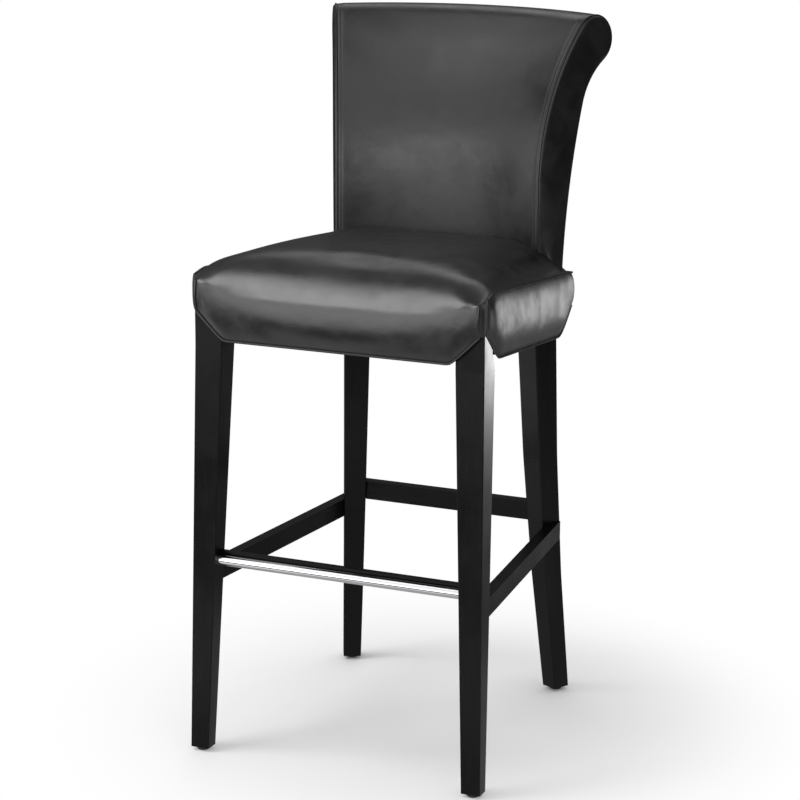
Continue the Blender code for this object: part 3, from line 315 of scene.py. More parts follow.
SAWN_STRETCH, SAWN_DEPTH = (8, 60, 60), 0.0001
ZINC_PATCH = 0.003
CLOTH_THREAD, CLOTH_STRETCH, CLOTH_DEPTH = 0.0009, (1, 1, 0.2), 0.00015

bare_wood = Finish("bare_wood", (0.50, 0.36, 0.21), 0.7)
year_rings = bare_wood.noise(bare_wood.place(SAWN_STRETCH), 1.0, 3.0, 0.6)
bare_wood.feed("Base Color", bare_wood.blend(bare_wood.ease(year_rings, 0.35, 0.7),
                                             (0.56, 0.41, 0.25), (0.40, 0.27, 0.15)))
bare_wood.relief(year_rings * SAWN_DEPTH)
for part in ("seat_board", "stretcher_dowel_left", "stretcher_dowel_right"):
    coat(nodes[part], bare_wood.material)

stained_wood = Finish("stained_wood", (0.010, 0.009, 0.009), 0.75, specular=0.2)
stained_wood.relief(stained_wood.noise(stained_wood.place(SAWN_STRETCH), 1.0, 3.0, 0.6) * SAWN_DEPTH)
for part in ("rail_front", "rail_rear", "rail_left", "rail_right", "corner_block_left",
             "corner_block_right", "back_crest_rail", "back_panel", "back_lower_rail", "back_board"):
    coat(nodes[part], stained_wood.material)

zinc = Finish("zinc_plate", (0.55, 0.55, 0.57), 0.35, 1.0)
zinc.feed("Roughness", 0.30 + 0.15 * zinc.noise(zinc.place(), ZINC_PATCH, 2.0))
for part in ("block_bolt_left", "block_bolt_right", "rear_screw_left", "rear_screw_right"):
    coat(nodes[part], zinc.material)

dust_cloth = Finish("dust_cloth", (0.016, 0.016, 0.017), 0.95, specular=0.2)
threads = dust_cloth.noise(dust_cloth.place(CLOTH_STRETCH), CLOTH_THREAD, 1.0)
dust_cloth.relief(threads * CLOTH_DEPTH)
dust_cloth.feed("Base Color", dust_cloth.blend(threads, (0.010, 0.010, 0.011), (0.024, 0.024, 0.025)))
coat(nodes["dust_cover"], dust_cloth.material)


# Seat cushion: foam on the deck under a cover of smooth black leather, cut as one panel that runs
# over the crown and down the front, sewn to side and rear panels, pulled tight and tacked under
# the frame. The corners over the front legs are left open.

FRAME_HALF_WIDTH = 0.2324
FRAME_DEPTH = 0.468
FRAME_TAPER = 0.0871
FRAME_SLOPE = 0.118
SEAM_HEIGHT = 0.7597
CORNER_DROP, CORNER_DROP_START, CORNER_DROP_END = 0.0120, -0.010, 0.040
SIDE_HEM = 0.6616
FRONT_HEM = 0.6550
HEM_RISE = 0.0420
PAD_FRONT, PAD_SIDE_FRONT, PAD_SIDE_REAR = 0.0062, 0.0008, 0.0044
FRONT_SEAM_X, FRONT_SEAM_TOP = 0.2254, 0.7460
OPEN_CORNER = ((0.2340, 0.0010, 0.7490), (0.2324, -0.0040, 0.7474), (0.2290, -0.0074, 0.7464))
GUSSET_FOLD = ((0.2337, 0.0016), (0.2326, -0.0020), (0.2290, -0.0040))
GUSSET_SINK = 0.2
CROWN_AT_FRONT, CROWN_AT_REAR, CROWN_POWER = 0.031, 0.0588, 8.0
FRONT_ROLL_DEPTH, FRONT_ROLL_DROP = 0.060, 0.064
FRONT_BULGE, SIDE_BULGE, REAR_BULGE, CORNER_BULGE = 0.0045, 0.0088, 0.0070, 0.0048
FRONT_LEAN, FRONT_SET, FRONT_SEAM_BOW = 0.0050, 0.0030, 0.0034
FULLNESS_POWER, BULGE_POWER, BULGE_FULL_AT = 4, 4, 0.5
SIDE_BULGE_START, SIDE_BULGE_END = -0.005, 0.027
REAR_CORNER_CALM, REAR_CORNER_TURN, CORNER_SHARE = 0.060, 0.014, 0.7
REAR_BULGE_RUN, REAR_ASIDE_RUN = 0.04, 0.03
CORNER_Y, REAR_OVERHANG, REAR_EASE = 0.0042, 0.0036, 0.06
EDGE_ROLL, TURN_PULL, TURN_SPARE = 0.012, 0.55, 0.01
EDGE_CROWDING = 0.35
CROWN_STEPS, FACE_STEPS, TURN_STEPS = 80, 30, 24
FRONT_CLIP, SIDE_FRONT_CLIP, SIDE_REAR_CLIP, REAR_CLIP = 0.0475, 0.0700, 0.0750, 0.0450
CLIP_SOFTNESS, SIDE_REAR_SOFTNESS = 0.18, 0.45
ACROSS, ALONG, DOWN = 70, 60, 13
SEAT_PRESSURE, SEAT_GROWTH, SEAT_SWELL = 2.0, -0.002, 0.0040

front_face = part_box("rail_front")[0].y


def between(low, high, share):
    return low + (high - low) * share


def stepped(value, low, high):
    share = min(1.0, max(0.0, (value - low) / (high - low)))
    return share * share * (3 - 2 * share)


def eased_ramp(share, softness=CLIP_SOFTNESS):
    """0 below 0, then a straight climb that starts softly."""
    if share <= 0:
        return 0.0
    return share * share / (share + softness) * (1 + softness)


def seam_x(y):
    """The side seam's distance from the middle, at a distance behind the frame's front face."""
    return FRAME_HALF_WIDTH - FRAME_TAPER * y + between(PAD_SIDE_FRONT, PAD_SIDE_REAR, y / FRAME_DEPTH)


def seam_z(y):
    return SEAM_HEIGHT - FRAME_SLOPE * y - CORNER_DROP * (1 - stepped(y, CORNER_DROP_START, CORNER_DROP_END))


def crown_z(across, y):
    """The crown's height at a share of the half width and a distance behind the front."""
    depth_share = min(1.0, abs(y - FRAME_DEPTH / 2) / (FRAME_DEPTH / 2))
    rise = between(CROWN_AT_FRONT, CROWN_AT_REAR, min(1.0, max(0.0, y / FRAME_DEPTH)))
    return seam_z(y) + rise * (1 - min(1.0, abs(across)) ** CROWN_POWER) * (1 - depth_share ** CROWN_POWER)


def front_hem(x):
    clip = (abs(x) - (FRONT_SEAM_X - FRONT_CLIP)) / FRONT_CLIP
    return FRONT_HEM + HEM_RISE * eased_ramp(clip)


def side_hem(y):
    front = eased_ramp((SIDE_FRONT_CLIP - y) / SIDE_FRONT_CLIP)
    rear = eased_ramp((y - (FRAME_DEPTH - SIDE_REAR_CLIP)) / SIDE_REAR_CLIP, SIDE_REAR_SOFTNESS)
    return SIDE_HEM - FRAME_SLOPE * y + HEM_RISE * max(front, rear)


def steps_along(line):
    """How far along a line each of its points lies."""
    return np.concatenate([[0], np.cumsum(np.linalg.norm(np.diff(line, axis=0), axis=1))])


def resampled(line, shares):
    """Points at some shares of a line's length."""
    line = np.array(line)
    steps = steps_along(line)
    steps /= steps[-1]
    return np.stack([np.interp(shares, steps, line[:, k]) for k in range(3)], 1)


# The main panel's right edge: along the side seam from the rear, round the open corner, down

rear_edge_y = FRAME_DEPTH + REAR_OVERHANG
side_seam = [(seam_x(y), y, seam_z(y)) for y in np.linspace(rear_edge_y, CORNER_Y, ALONG + 1)]
front_seam = [(FRONT_SEAM_X, -PAD_FRONT - FRONT_SEAM_BOW * math.sin(math.pi * k / DOWN),
               between(FRONT_SEAM_TOP, front_hem(FRONT_SEAM_X), k / DOWN)) for k in range(DOWN + 1)]
edge_line = np.array([*side_seam, *OPEN_CORNER, *front_seam])
edge_steps = steps_along(edge_line)
edge_shares = edge_steps / edge_steps[-1]


def panel_line(across):
    """A line over the main panel from the rear seam to the front hem, at a share of its width."""
    fullness = 1 - abs(across) ** FULLNESS_POWER
    depth = between(EDGE_ROLL, FRONT_ROLL_DEPTH, fullness)
    drop = between(EDGE_ROLL, FRONT_ROLL_DROP, fullness)
    rear = between(rear_edge_y, FRAME_DEPTH + PAD_SIDE_REAR, stepped(1 - abs(across), 0.0, REAR_EASE))
    line = [(across * seam_x(y), y, crown_z(across, y)) for y in np.linspace(rear, depth, CROWN_STEPS)]
    start, before = np.array(line[-1]), np.array(line[-2])
    slope = (start - before) / np.linalg.norm(start - before)
    hem = front_hem(across * FRONT_SEAM_X)
    turn_z = start[2] - drop
    bulge = FRONT_BULGE * stepped(fullness, 0.0, BULGE_FULL_AT) + FRONT_SET
    face = []
    for k in range(FACE_STEPS):
        z = between(turn_z, hem, k / (FACE_STEPS - 1))
        up = (z - hem) / (turn_z - hem)
        lean = FRONT_LEAN * fullness * up * up
        face.append((across * FRONT_SEAM_X, lean - PAD_FRONT - bulge * (1 - (1 - up) ** BULGE_POWER), z))
    end = np.array(face[0])
    heading = (end - np.array(face[1])) / np.linalg.norm(end - np.array(face[1]))
    reach = TURN_PULL * (depth + TURN_SPARE)
    first, second = start + slope * reach, end + heading * TURN_PULL * drop
    for k in range(1, TURN_STEPS):
        share = k / TURN_STEPS
        keep = 1 - share
        line.append(tuple(start * keep ** 3 + 3 * first * keep * keep * share
                          + 3 * second * keep * share * share + end * share ** 3))
    return line + face


panel_rows = len(edge_line)
across_shares = [math.sin(math.pi / 2 * (2 * k / ACROSS - 1)) * EDGE_CROWDING
                 + (2 * k / ACROSS - 1) * (1 - EDGE_CROWDING) for k in range(ACROSS + 1)]
panel = np.zeros((ACROSS + 1, panel_rows, 3))
for column, across in enumerate(across_shares):
    if column in (0, ACROSS):
        panel[column] = edge_line * (math.copysign(1, across), 1, 1)
    else:
        panel[column] = resampled(panel_line(across), edge_shares)

# The skirt: side panel, rear panel and the other side panel as one strip, seam to hem


def plump(share):
    """How far a skirt panel stands out at a share of its height, where 1 is furthest."""
    return 1 - abs(2 * share - 1) ** 3


skirt = []
for x, y, z in edge_line[ALONG::-1]:
    swell = SIDE_BULGE * stepped(y, SIDE_BULGE_START, SIDE_BULGE_END)
    swell -= (SIDE_BULGE - CORNER_BULGE) * stepped(y, FRAME_DEPTH - REAR_CORNER_CALM, rear_edge_y)
    hem = side_hem(y)
    corner = stepped(y, FRAME_DEPTH - REAR_CORNER_TURN, rear_edge_y)
    strip = []
    for k in range(DOWN + 1):
        out = swell * plump(k / DOWN)
        strip.append((x + out, y + corner * out * CORNER_SHARE, between(z, hem, k / DOWN)))
    skirt.append(strip)
for x, y, z in panel[ACROSS - 1:0:-1, 0]:
    gap = seam_x(rear_edge_y) - abs(x)
    swell = between(CORNER_SHARE * CORNER_BULGE, REAR_BULGE, stepped(gap, 0.0, REAR_BULGE_RUN))
    aside = math.copysign(CORNER_BULGE * (1 - stepped(gap, 0.0, REAR_ASIDE_RUN)), x)
    hem = SIDE_HEM - FRAME_SLOPE * FRAME_DEPTH + HEM_RISE * eased_ramp((REAR_CLIP - gap) / REAR_CLIP)
    skirt.append([(x + aside * plump(k / DOWN), y + swell * plump(k / DOWN), between(z, hem, k / DOWN))
                  for k in range(DOWN + 1)])
skirt += [[(-x, y, z) for x, y, z in strip] for strip in skirt[:ALONG + 1][::-1]]
skirt = np.array(skirt)

# The open corners: a narrow folded gusset between the front seam and the side panel

gussets = []
for side, side_column in ((1, skirt[0]), (-1, skirt[-1])):
    front_column = np.array(front_seam) * (side, 1, 1)
    lines = [side_column]
    for k, (top, fold) in enumerate(zip(OPEN_CORNER, GUSSET_FOLD), 1):
        top = np.array(top) * (side, 1, 1)
        share = k / (len(OPEN_CORNER) + 1)
        line = []
        for row in range(DOWN + 1):
            z = side_column[row][2] * (1 - share) + front_column[row][2] * share
            sunk = np.array((side * fold[0], fold[1], z))
            line.append(top + (sunk - top) * stepped(row / DOWN, 0, GUSSET_SINK))
        lines.append(np.array(line))
    lines.append(front_column)
    gussets.append(np.array(lines))

LEATHER_COLOUR = (0.0042, 0.0041, 0.0044)
LEATHER_WORN = (0.0080, 0.0077, 0.0078)
LEATHER_ROUGHNESS = 0.30
LEATHER_SPECULAR = 0.75
LEATHER_PATCH = 0.045
LEATHER_PORE = 0.0011
LEATHER_PORE_DEPTH = 0.00006
LEATHER_CREASE = 0.0090
LEATHER_CREASE_DEPTH = 0.00014
LEATHER_WAVE = 0.0260
LEATHER_WAVE_DEPTH = 0.00032
# SEAM_SHADE darkens the leather's colour along the seams as painted shade; SEAM_DULLNESS makes the seams
# rougher.
SEAM_SHADE, SEAM_DULLNESS = 0.85, 0.45
SIM_STEPS = 18
SIM_CALMING = 8
HELD_BEHIND, HELD_ABOVE = 0.385, 0.712
SAME_PLACE, SEAM_MERGE, SLIVER = 0.0001, 0.00005, 0.00001
WELT_RADIUS, WELT_SIDES, WELT_STANDS_OUT = 0.0018, 10, 0.0010


def leather(name, pores):
    """Smooth black leather: fine pores, soft creases, uneven shine, and rougher seams darkened with painted
    shade.
    """
    finish = Finish(name, LEATHER_COLOUR, LEATHER_ROUGHNESS, specular=LEATHER_SPECULAR)
    here = finish.place()
    pore = finish.node("ShaderNodeTexVoronoi", {"feature": 'SMOOTH_F1'},
                       {"Vector": here, "Scale": 1 / LEATHER_PORE, "Smoothness": 0.6}).out("Distance")
    crease = finish.noise(here, LEATHER_CREASE, 4.0, 0.55)
    wave = finish.noise(here, LEATHER_WAVE, 1.0)
    cloud = finish.noise(here, LEATHER_PATCH, 3.0, 0.6)
    finish.relief(pore * (LEATHER_PORE_DEPTH * pores) + crease * (LEATHER_CREASE_DEPTH * pores)
                  + wave * (LEATHER_WAVE_DEPTH * pores))
    patch = finish.ease(cloud, 0.35, 0.70)
    # The seam mark paints shade into the base colour along the seams, and makes them rougher.
    seam = finish.node("ShaderNodeAttribute", {"attribute_name": "seam"}, {}).out("Fac")
    finish.feed("Base Color", finish.blend(seam * SEAM_SHADE,
                                           finish.blend(patch, LEATHER_COLOUR, LEATHER_WORN), (0, 0, 0)))
    finish.feed("Roughness", LEATHER_ROUGHNESS - 0.04 + 0.10 * patch + 0.06 * crease
                + seam * SEAM_DULLNESS)
    return finish.material


cover_leather = leather("black_leather", 1.0)
welt_leather = leather("piping_leather", 0.4)


def inflated(piece, held, pressure, growth, reach):
    """Lets a sewn cover swell against its seams, with no point moving further than its reach."""
    group = piece.vertex_groups.new(name="held")
    group.add([int(k) for k in held], 1.0, 'REPLACE')
    cloth = piece.modifiers.new("cover", 'CLOTH')
    cloth.point_cache.frame_start, cloth.point_cache.frame_end = 1, SIM_STEPS
    cloth.collision_settings.use_collision = False
    feel = cloth.settings
    feel.quality = 6
    feel.mass = 0.25
    feel.tension_stiffness = feel.compression_stiffness = 30
    feel.shear_stiffness = 12
    feel.bending_stiffness = 1.5
    feel.tension_damping = feel.compression_damping = 12
    feel.vertex_group_mass = "held"
    feel.use_pressure = True
    feel.uniform_pressure_force = pressure
    feel.shrink_min = growth
    feel.effector_weights.gravity = 0
    before = np.array([v.co for v in piece.data.vertices])
    for step in range(1, SIM_STEPS + 1):
        bpy.context.scene.frame_set(step)
    swollen = piece.evaluated_get(bpy.context.evaluated_depsgraph_get()).data
    moved = np.array([v.co for v in swollen.vertices]) - before
    piece.modifiers.clear()
    ends = np.array([edge.vertices for edge in piece.data.edges])
    neighbours = np.maximum(np.bincount(ends.ravel(), minlength=len(before)), 1)[:, None]
    fixed = np.zeros(len(before), bool)
    fixed[list(held)] = True
    for _ in range(SIM_CALMING):
        total = np.zeros_like(moved)
        np.add.at(total, ends[:, 0], moved[ends[:, 1]])
        np.add.at(total, ends[:, 1], moved[ends[:, 0]])
        moved = np.where(fixed[:, None], moved, 0.5 * moved + 0.5 * total / neighbours)
    length = np.maximum(np.linalg.norm(moved, axis=1), 1e-9)
    moved *= (reach * np.tanh(length / reach) / length)[:, None]
    piece.data.vertices.foreach_set("co", (before + moved).ravel())
    piece.data.update()
    bpy.context.scene.frame_set(1)


def smoothed(piece, seams):
    """Adds one level of subdivision that keeps the seams crisp, and marks them for the leather's painted
    seam shade.
    """
    # This mark tells the leather where to paint shade along the seams.
    mark = piece.data.attributes.new("seam", 'FLOAT', 'POINT')
    mark.data.foreach_set("value", [float(k in seams) for k in range(len(piece.data.vertices))])
    crease = piece.data.attributes.new("crease_edge", 'FLOAT', 'EDGE')
    for edge in piece.data.edges:
        if edge.vertices[0] in seams and edge.vertices[1] in seams:
            crease.data[edge.index].value = 1.0
    finer = piece.modifiers.new("finer", 'SUBSURF')
    finer.levels = finer.render_levels = 1
    settled(piece)


def sewn(name, *sheets):
    """A leather cover: sheets of points, each turned over or not, joined where their edges meet."""
    points, faces = [], []
    for sheet, turned in sheets:
        rows, count = sheet.shape[:2]
        base = len(points)
        points.extend(sheet.reshape(-1, 3))
        for row in range(rows - 1):
            for k in range(count - 1):
                quad = (base + row * count + k, base + row * count + k + 1,
                        base + (row + 1) * count + k + 1, base + (row + 1) * count + k)
                faces.append(quad[::-1] if turned else quad)
    piece = as_piece(name, points, faces, cover_leather)
    work = bmesh.new()
    work.from_mesh(piece.data)
    bmesh.ops.remove_doubles(work, verts=work.verts, dist=SEAM_MERGE)
    bmesh.ops.dissolve_degenerate(work, dist=SLIVER, edges=work.edges)
    work.to_mesh(piece.data)
    work.free()
    face_out(piece)
    return piece


def tree_of(points):
    """A tree that finds the nearest of some points."""
    tree = KDTree(len(points))
    for k, point in enumerate(points):
        tree.insert(Vector(point), k)
    tree.balance()
    return tree


def near(piece, lines):
    """The numbers of a piece's points that lie on one of some lines of points."""
    tree = tree_of([point for line in lines for point in line])
    return {v.index for v in piece.data.vertices if tree.find(v.co)[2] < SAME_PLACE}


def shifted(line):
    """Points given behind the frame's front face, as points of the whole part."""
    return np.array(line) + (0, front_face, 0)


def piping(name, line, node):
    """A welt: a cord in a folded strip of leather, caught in a seam along a line of points."""
    line = np.array(line)
    rings, side = [], None
    for k, point in enumerate(line):
        ahead = line[min(k + 1, len(line) - 1)] - line[max(k - 1, 0)]
        heading = Vector(ahead).normalized()
        if side is None:
            side = heading.orthogonal().normalized()
        side = (side - heading * side.dot(heading)).normalized()
        across = heading.cross(side)
        ring = []
        for j in range(WELT_SIDES):
            angle = math.tau * j / WELT_SIDES
            ring.append(tuple(Vector(point) + side * (WELT_RADIUS * math.cos(angle))
                              + across * (WELT_RADIUS * math.sin(angle))))
        rings.append(ring)
    points, faces = skin(rings)
    faces += [tuple(range(WELT_SIDES))[::-1], tuple(range(len(points) - WELT_SIDES, len(points)))]
    piece = as_piece(name, points, faces, welt_leather)
    face_out(piece)
    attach(piece, "root")
    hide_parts(node)
    return piece


seat = sewn("seat_cushion", (shifted(panel), False), (shifted(skirt), False),
            (shifted(gussets[0]), True), (shifted(gussets[1]), False))
seam_lines = [panel[0], panel[-1], panel[:, 0], panel[:, -1], skirt[:, -1], skirt[0], skirt[-1]]
seam_lines += [gusset[:, -1] for gusset in gussets]
seams = near(seat, [shifted(line) for line in seam_lines])
gusset_points = near(seat, [shifted(line) for gusset in gussets for line in gusset])
behind = {v.index for v in seat.data.vertices
          if v.co.y > front_face + HELD_BEHIND and v.co.z > HELD_ABOVE}
inflated(seat, seams | gusset_points | behind, SEAT_PRESSURE, SEAT_GROWTH, SEAT_SWELL)
smoothed(seat, seams)
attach(seat, "root")
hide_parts("seat_cover", "seat_foam")

# The seat's welts run along its seams and hems, a little proud of the panels. They are moved off
# the nearest side of a square plan, and the odd power keeps a place's sign.

PLAN_HALF, PLAN_POWER = 0.235, 9


def proud(line):
    """A line moved a little away from the middle of the seat."""
    moved = []
    for x, y, z in line:
        away = Vector((x / PLAN_HALF, (y - front_face - FRAME_DEPTH / 2) / PLAN_HALF, 0))
        away = Vector((away.x ** PLAN_POWER, away.y ** PLAN_POWER, 0))
        moved.append(Vector((x, y, z)) + away.normalized() * WELT_STANDS_OUT)
    return moved


front_line = [panel[0, -DOWN - 1 + k] for k in range(DOWN + 1)] + list(panel[1:-1, -1])
front_line += [panel[-1, -1 - k] for k in range(DOWN + 1)]
piping("front_welt", proud(shifted(front_line)), "welt_seat_front")
side_welts = []
for name, column, strips in (("left", 0, skirt[::-1]), ("right", -1, skirt)):
    loop = [*panel[column, :ALONG + 1], *strips[0][1:]]
    loop += [strip[-1] for strip in strips[1:ALONG + 1]]
    side_welts.append(piping(name + "_side_welt", proud(shifted(loop)), "welt_seat_" + name))
rear_hem = [strip[-1] for strip in skirt[ALONG:-ALONG]]
piping("rear_welt", proud(shifted(panel[:, 0])), "welt_seat_rear_top")
piping("rear_hem_welt", proud(shifted(rear_hem)), "welt_seat_rear_hem")


# Back cushion: foam over a bent panel and a crest rail, under one leather panel that runs up the
# front, over the roll and down the rear, with a leather panel sewn in at each side.

BACK_AXIS = 0.0222
BACK_HALF_ANGLE = math.radians(25.75)
BACK_FRONT_RADIUS = 0.3905
BACK_THICKNESS = 0.0562
BACK_STRAIGHT_TOP = 0.8607
BACK_REAR_STRAIGHT_TOP = 0.6602
FRONT_CURVE, REAR_CURVE = 0.3700, 1.3308
ROLL_RADIUS, NECK_RADIUS = 0.0390, 0.1115
ROLL_HEIGHT = 1.0739
ROLL_CROWN, ROLL_CROWN_RUN = 0.0030, 0.050
ROLL_SPLIT = math.radians(35)
BODY_ROWS, ROLL_ROWS = 44, 14
BEND_STEPS, NECK_STEPS = 60, 16
EDGE_COLUMNS = (0.0, 0.0016, 0.0036, 0.0054, 0.0074, 0.0110, 0.0170)
MIDDLE_COLUMNS = 40
SEAM_DIP, SEAM_DIP_WIDTH, SEAM_DIP_POWER = 0.0016, 0.0030, 1.5
TOPSTITCH_COLUMN, TOPSTITCH_DIP = 3, 0.0006
SIDE_PUFF, SIDE_PUFF_SPREAD = -0.0012, 0.0131
SIDE_DOME, SIDE_DOME_WIDTH = 0.0014, 0.0150
SHOULDER_WIDTH = 0.0012
SIDE_STRIPS = 16
FOOT_BURY = 0.0045
SIDE_WELT_OUT = 0.0010
BACK_PRESSURE, BACK_GROWTH, BACK_SWELL = 0.8, 0.0, 0.0020

front_centre = (BACK_FRONT_RADIUS + FRONT_CURVE, BACK_STRAIGHT_TOP)
rear_centre = (BACK_FRONT_RADIUS + BACK_THICKNESS + REAR_CURVE, BACK_REAR_STRAIGHT_TOP)
roll_reach = math.sqrt((FRONT_CURVE - ROLL_RADIUS) ** 2 - (ROLL_HEIGHT - BACK_STRAIGHT_TOP) ** 2)
roll_centre = (front_centre[0] - roll_reach, ROLL_HEIGHT)


def heading(start, end):
    return math.atan2(end[1] - start[1], end[0] - start[0])


def on_circle(centre, radius, angle):
    return centre[0] + radius * math.cos(angle), centre[1] + radius * math.sin(angle)


def bend(centre, radius, start, end, steps):
    return [on_circle(centre, radius, between(start, end, k / steps)) for k in range(steps + 1)]


span = math.dist(roll_centre, rear_centre)
first_reach, second_reach = ROLL_RADIUS + NECK_RADIUS, REAR_CURVE - NECK_RADIUS
along_span = (span ** 2 + first_reach ** 2 - second_reach ** 2) / (2 * span)
off_span = math.sqrt(first_reach ** 2 - along_span ** 2)
neck_foot = on_circle(roll_centre, along_span, heading(roll_centre, rear_centre))
neck_centre = min((on_circle(neck_foot, off_span, heading(roll_centre, rear_centre) + turn)
                   for turn in (math.pi / 2, -math.pi / 2)), key=lambda point: point[1])
roll_start = heading(front_centre, roll_centre)
roll_end = heading(roll_centre, neck_centre)
rear_top = heading(rear_centre, neck_centre) % math.tau


def evenly(line, count):
    """Points at even steps along a line in the plane."""
    line = np.array(line)
    steps = steps_along(line)
    places = np.linspace(0, steps[-1], count)
    return np.stack([np.interp(places, steps, line[:, k]) for k in range(2)], 1)


def back_outline(front_foot, rear_foot):
    """The back's outline as radius and height, up its front to the roll and up its rear to it."""
    front = [(BACK_FRONT_RADIUS, front_foot)]
    front += bend(front_centre, FRONT_CURVE, math.pi, roll_start, BEND_STEPS)
    rear = [(BACK_FRONT_RADIUS + BACK_THICKNESS, rear_foot)]
    rear += bend(rear_centre, REAR_CURVE, math.pi, rear_top, BEND_STEPS)
    rear += bend(neck_centre, NECK_RADIUS, rear_top, roll_end + math.pi, NECK_STEPS)[1:]
    front = [*evenly(front, BODY_ROWS),
             *bend(roll_centre, ROLL_RADIUS, roll_start, ROLL_SPLIT, ROLL_ROWS)[1:]]
    rear = [*evenly(rear, BODY_ROWS),
            *bend(roll_centre, ROLL_RADIUS, roll_end, ROLL_SPLIT, ROLL_ROWS)[1:]]
    return np.array(front), np.array(rear)


def seat_under(radius, angle):
    """The height of the seat's crown under a place of the back."""
    x, y = radius * math.sin(angle), BACK_AXIS + radius * math.cos(angle)
    return crown_z(x / seam_x(y), y)


def back_point(radius, z, angle):
    return (radius * math.sin(angle), front_face + BACK_AXIS + radius * math.cos(angle), z)


inner_angle = BACK_HALF_ANGLE - EDGE_COLUMNS[-1] / BACK_FRONT_RADIUS
angles = [BACK_HALF_ANGLE - gap / BACK_FRONT_RADIUS for gap in EDGE_COLUMNS]
angles += [inner_angle * (1 - 2 * k / MIDDLE_COLUMNS) for k in range(1, MIDDLE_COLUMNS)]
angles += [-angle for angle in angles[:len(EDGE_COLUMNS)][::-1]]
back_panel = []
for column, angle in enumerate(angles):
    front, rear = back_outline(seat_under(BACK_FRONT_RADIUS, angle) - FOOT_BURY,
                               seat_under(BACK_FRONT_RADIUS + BACK_THICKNESS, angle) - FOOT_BURY)
    outline = np.concatenate([front, rear[-2::-1]])
    ahead = np.gradient(outline, axis=0)
    ahead /= np.linalg.norm(ahead, axis=1)[:, None]
    outward = np.stack([-ahead[:, 1], ahead[:, 0]], 1)
    gap = (BACK_HALF_ANGLE - abs(angle)) * BACK_FRONT_RADIUS
    dip = SEAM_DIP * (1 - math.exp(-((gap / SEAM_DIP_WIDTH) ** SEAM_DIP_POWER))) - SEAM_DIP
    if column in (TOPSTITCH_COLUMN, len(angles) - 1 - TOPSTITCH_COLUMN):
        dip -= TOPSTITCH_DIP
    crown = ROLL_CROWN * (1 - (angle / BACK_HALF_ANGLE) ** 2)
    dip = [dip + crown * stepped(z, ROLL_HEIGHT - ROLL_CROWN_RUN, ROLL_HEIGHT) for z in outline[:, 1]]
    outline = outline + outward * np.array(dip)[:, None]
    back_panel.append([back_point(radius, z, angle) for radius, z in outline])
back_panel = np.array(back_panel)
half_rows = BODY_ROWS + ROLL_ROWS


def off_side(side):
    """The direction straight off the back's right side, or off its left side where side is -1."""
    return Vector((math.cos(BACK_HALF_ANGLE) * side, -math.sin(BACK_HALF_ANGLE), 0))


side_panels = []
for column, side in ((0, 1), (-1, -1)):
    front, rear = back_panel[column][:half_rows], back_panel[column][:half_rows - 2:-1]
    rim = tree_of(back_panel[column])
    aside = off_side(side)
    strips = []
    for strip in range(SIDE_STRIPS + 1):
        share = (1 - math.cos(math.pi * strip / SIDE_STRIPS)) / 2
        line = front * (1 - share) + rear * share
        if 0 < strip < SIDE_STRIPS:
            for k in range(half_rows):
                gap = rim.find(Vector(line[k]))[2]
                radius = math.hypot(line[k][0], line[k][1] - front_face - BACK_AXIS)
                puff = (SIDE_PUFF + SIDE_PUFF_SPREAD * radius) * (1 - math.exp(-gap / SHOULDER_WIDTH))
                puff += SIDE_DOME * (1 - math.exp(-gap / SIDE_DOME_WIDTH))
                line[k] += np.array(aside) * puff
        strips.append(line)
    side_panels.append(np.array(strips))

back = sewn("back_cushion", (back_panel, False), (side_panels[0], False), (side_panels[1], True))
back_seams = near(back, [back_panel[0], back_panel[-1]])
feet = [back_panel[:, k] for k in (0, 1, 2, 3, -1, -2, -3, -4)]
feet += [panel_side[:, k] for panel_side in side_panels for k in (0, 1, 2)]
inflated(back, back_seams | near(back, feet), BACK_PRESSURE, BACK_GROWTH, BACK_SWELL)
smoothed(back, back_seams)
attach(back, "root")
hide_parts("back_cover", "back_foam")

for name, column, side in (("right", 0, 1), ("left", -1, -1)):
    out = off_side(side) * SIDE_WELT_OUT
    piping(f"back_{name}_welt", [Vector(point) + out for point in back_panel[column]],
           "welt_back_" + name)

# The topstitch: a row of black thread beside each side seam, up the front, over the roll and down

STITCH_PITCH, STITCH_LENGTH, THREAD_RADIUS = 0.0046, 0.0036, 0.00036
STITCH_START, THREAD_RAISED = 0.004, 0.4
THREAD_TWIST, THREAD_TWIST_DEPTH = 0.0004, 0.00004

thread = Finish("black_thread", (0.010, 0.010, 0.011), 0.55, specular=0.5)
thread.relief(thread.noise(thread.place(), THREAD_TWIST, 1.0) * THREAD_TWIST_DEPTH)


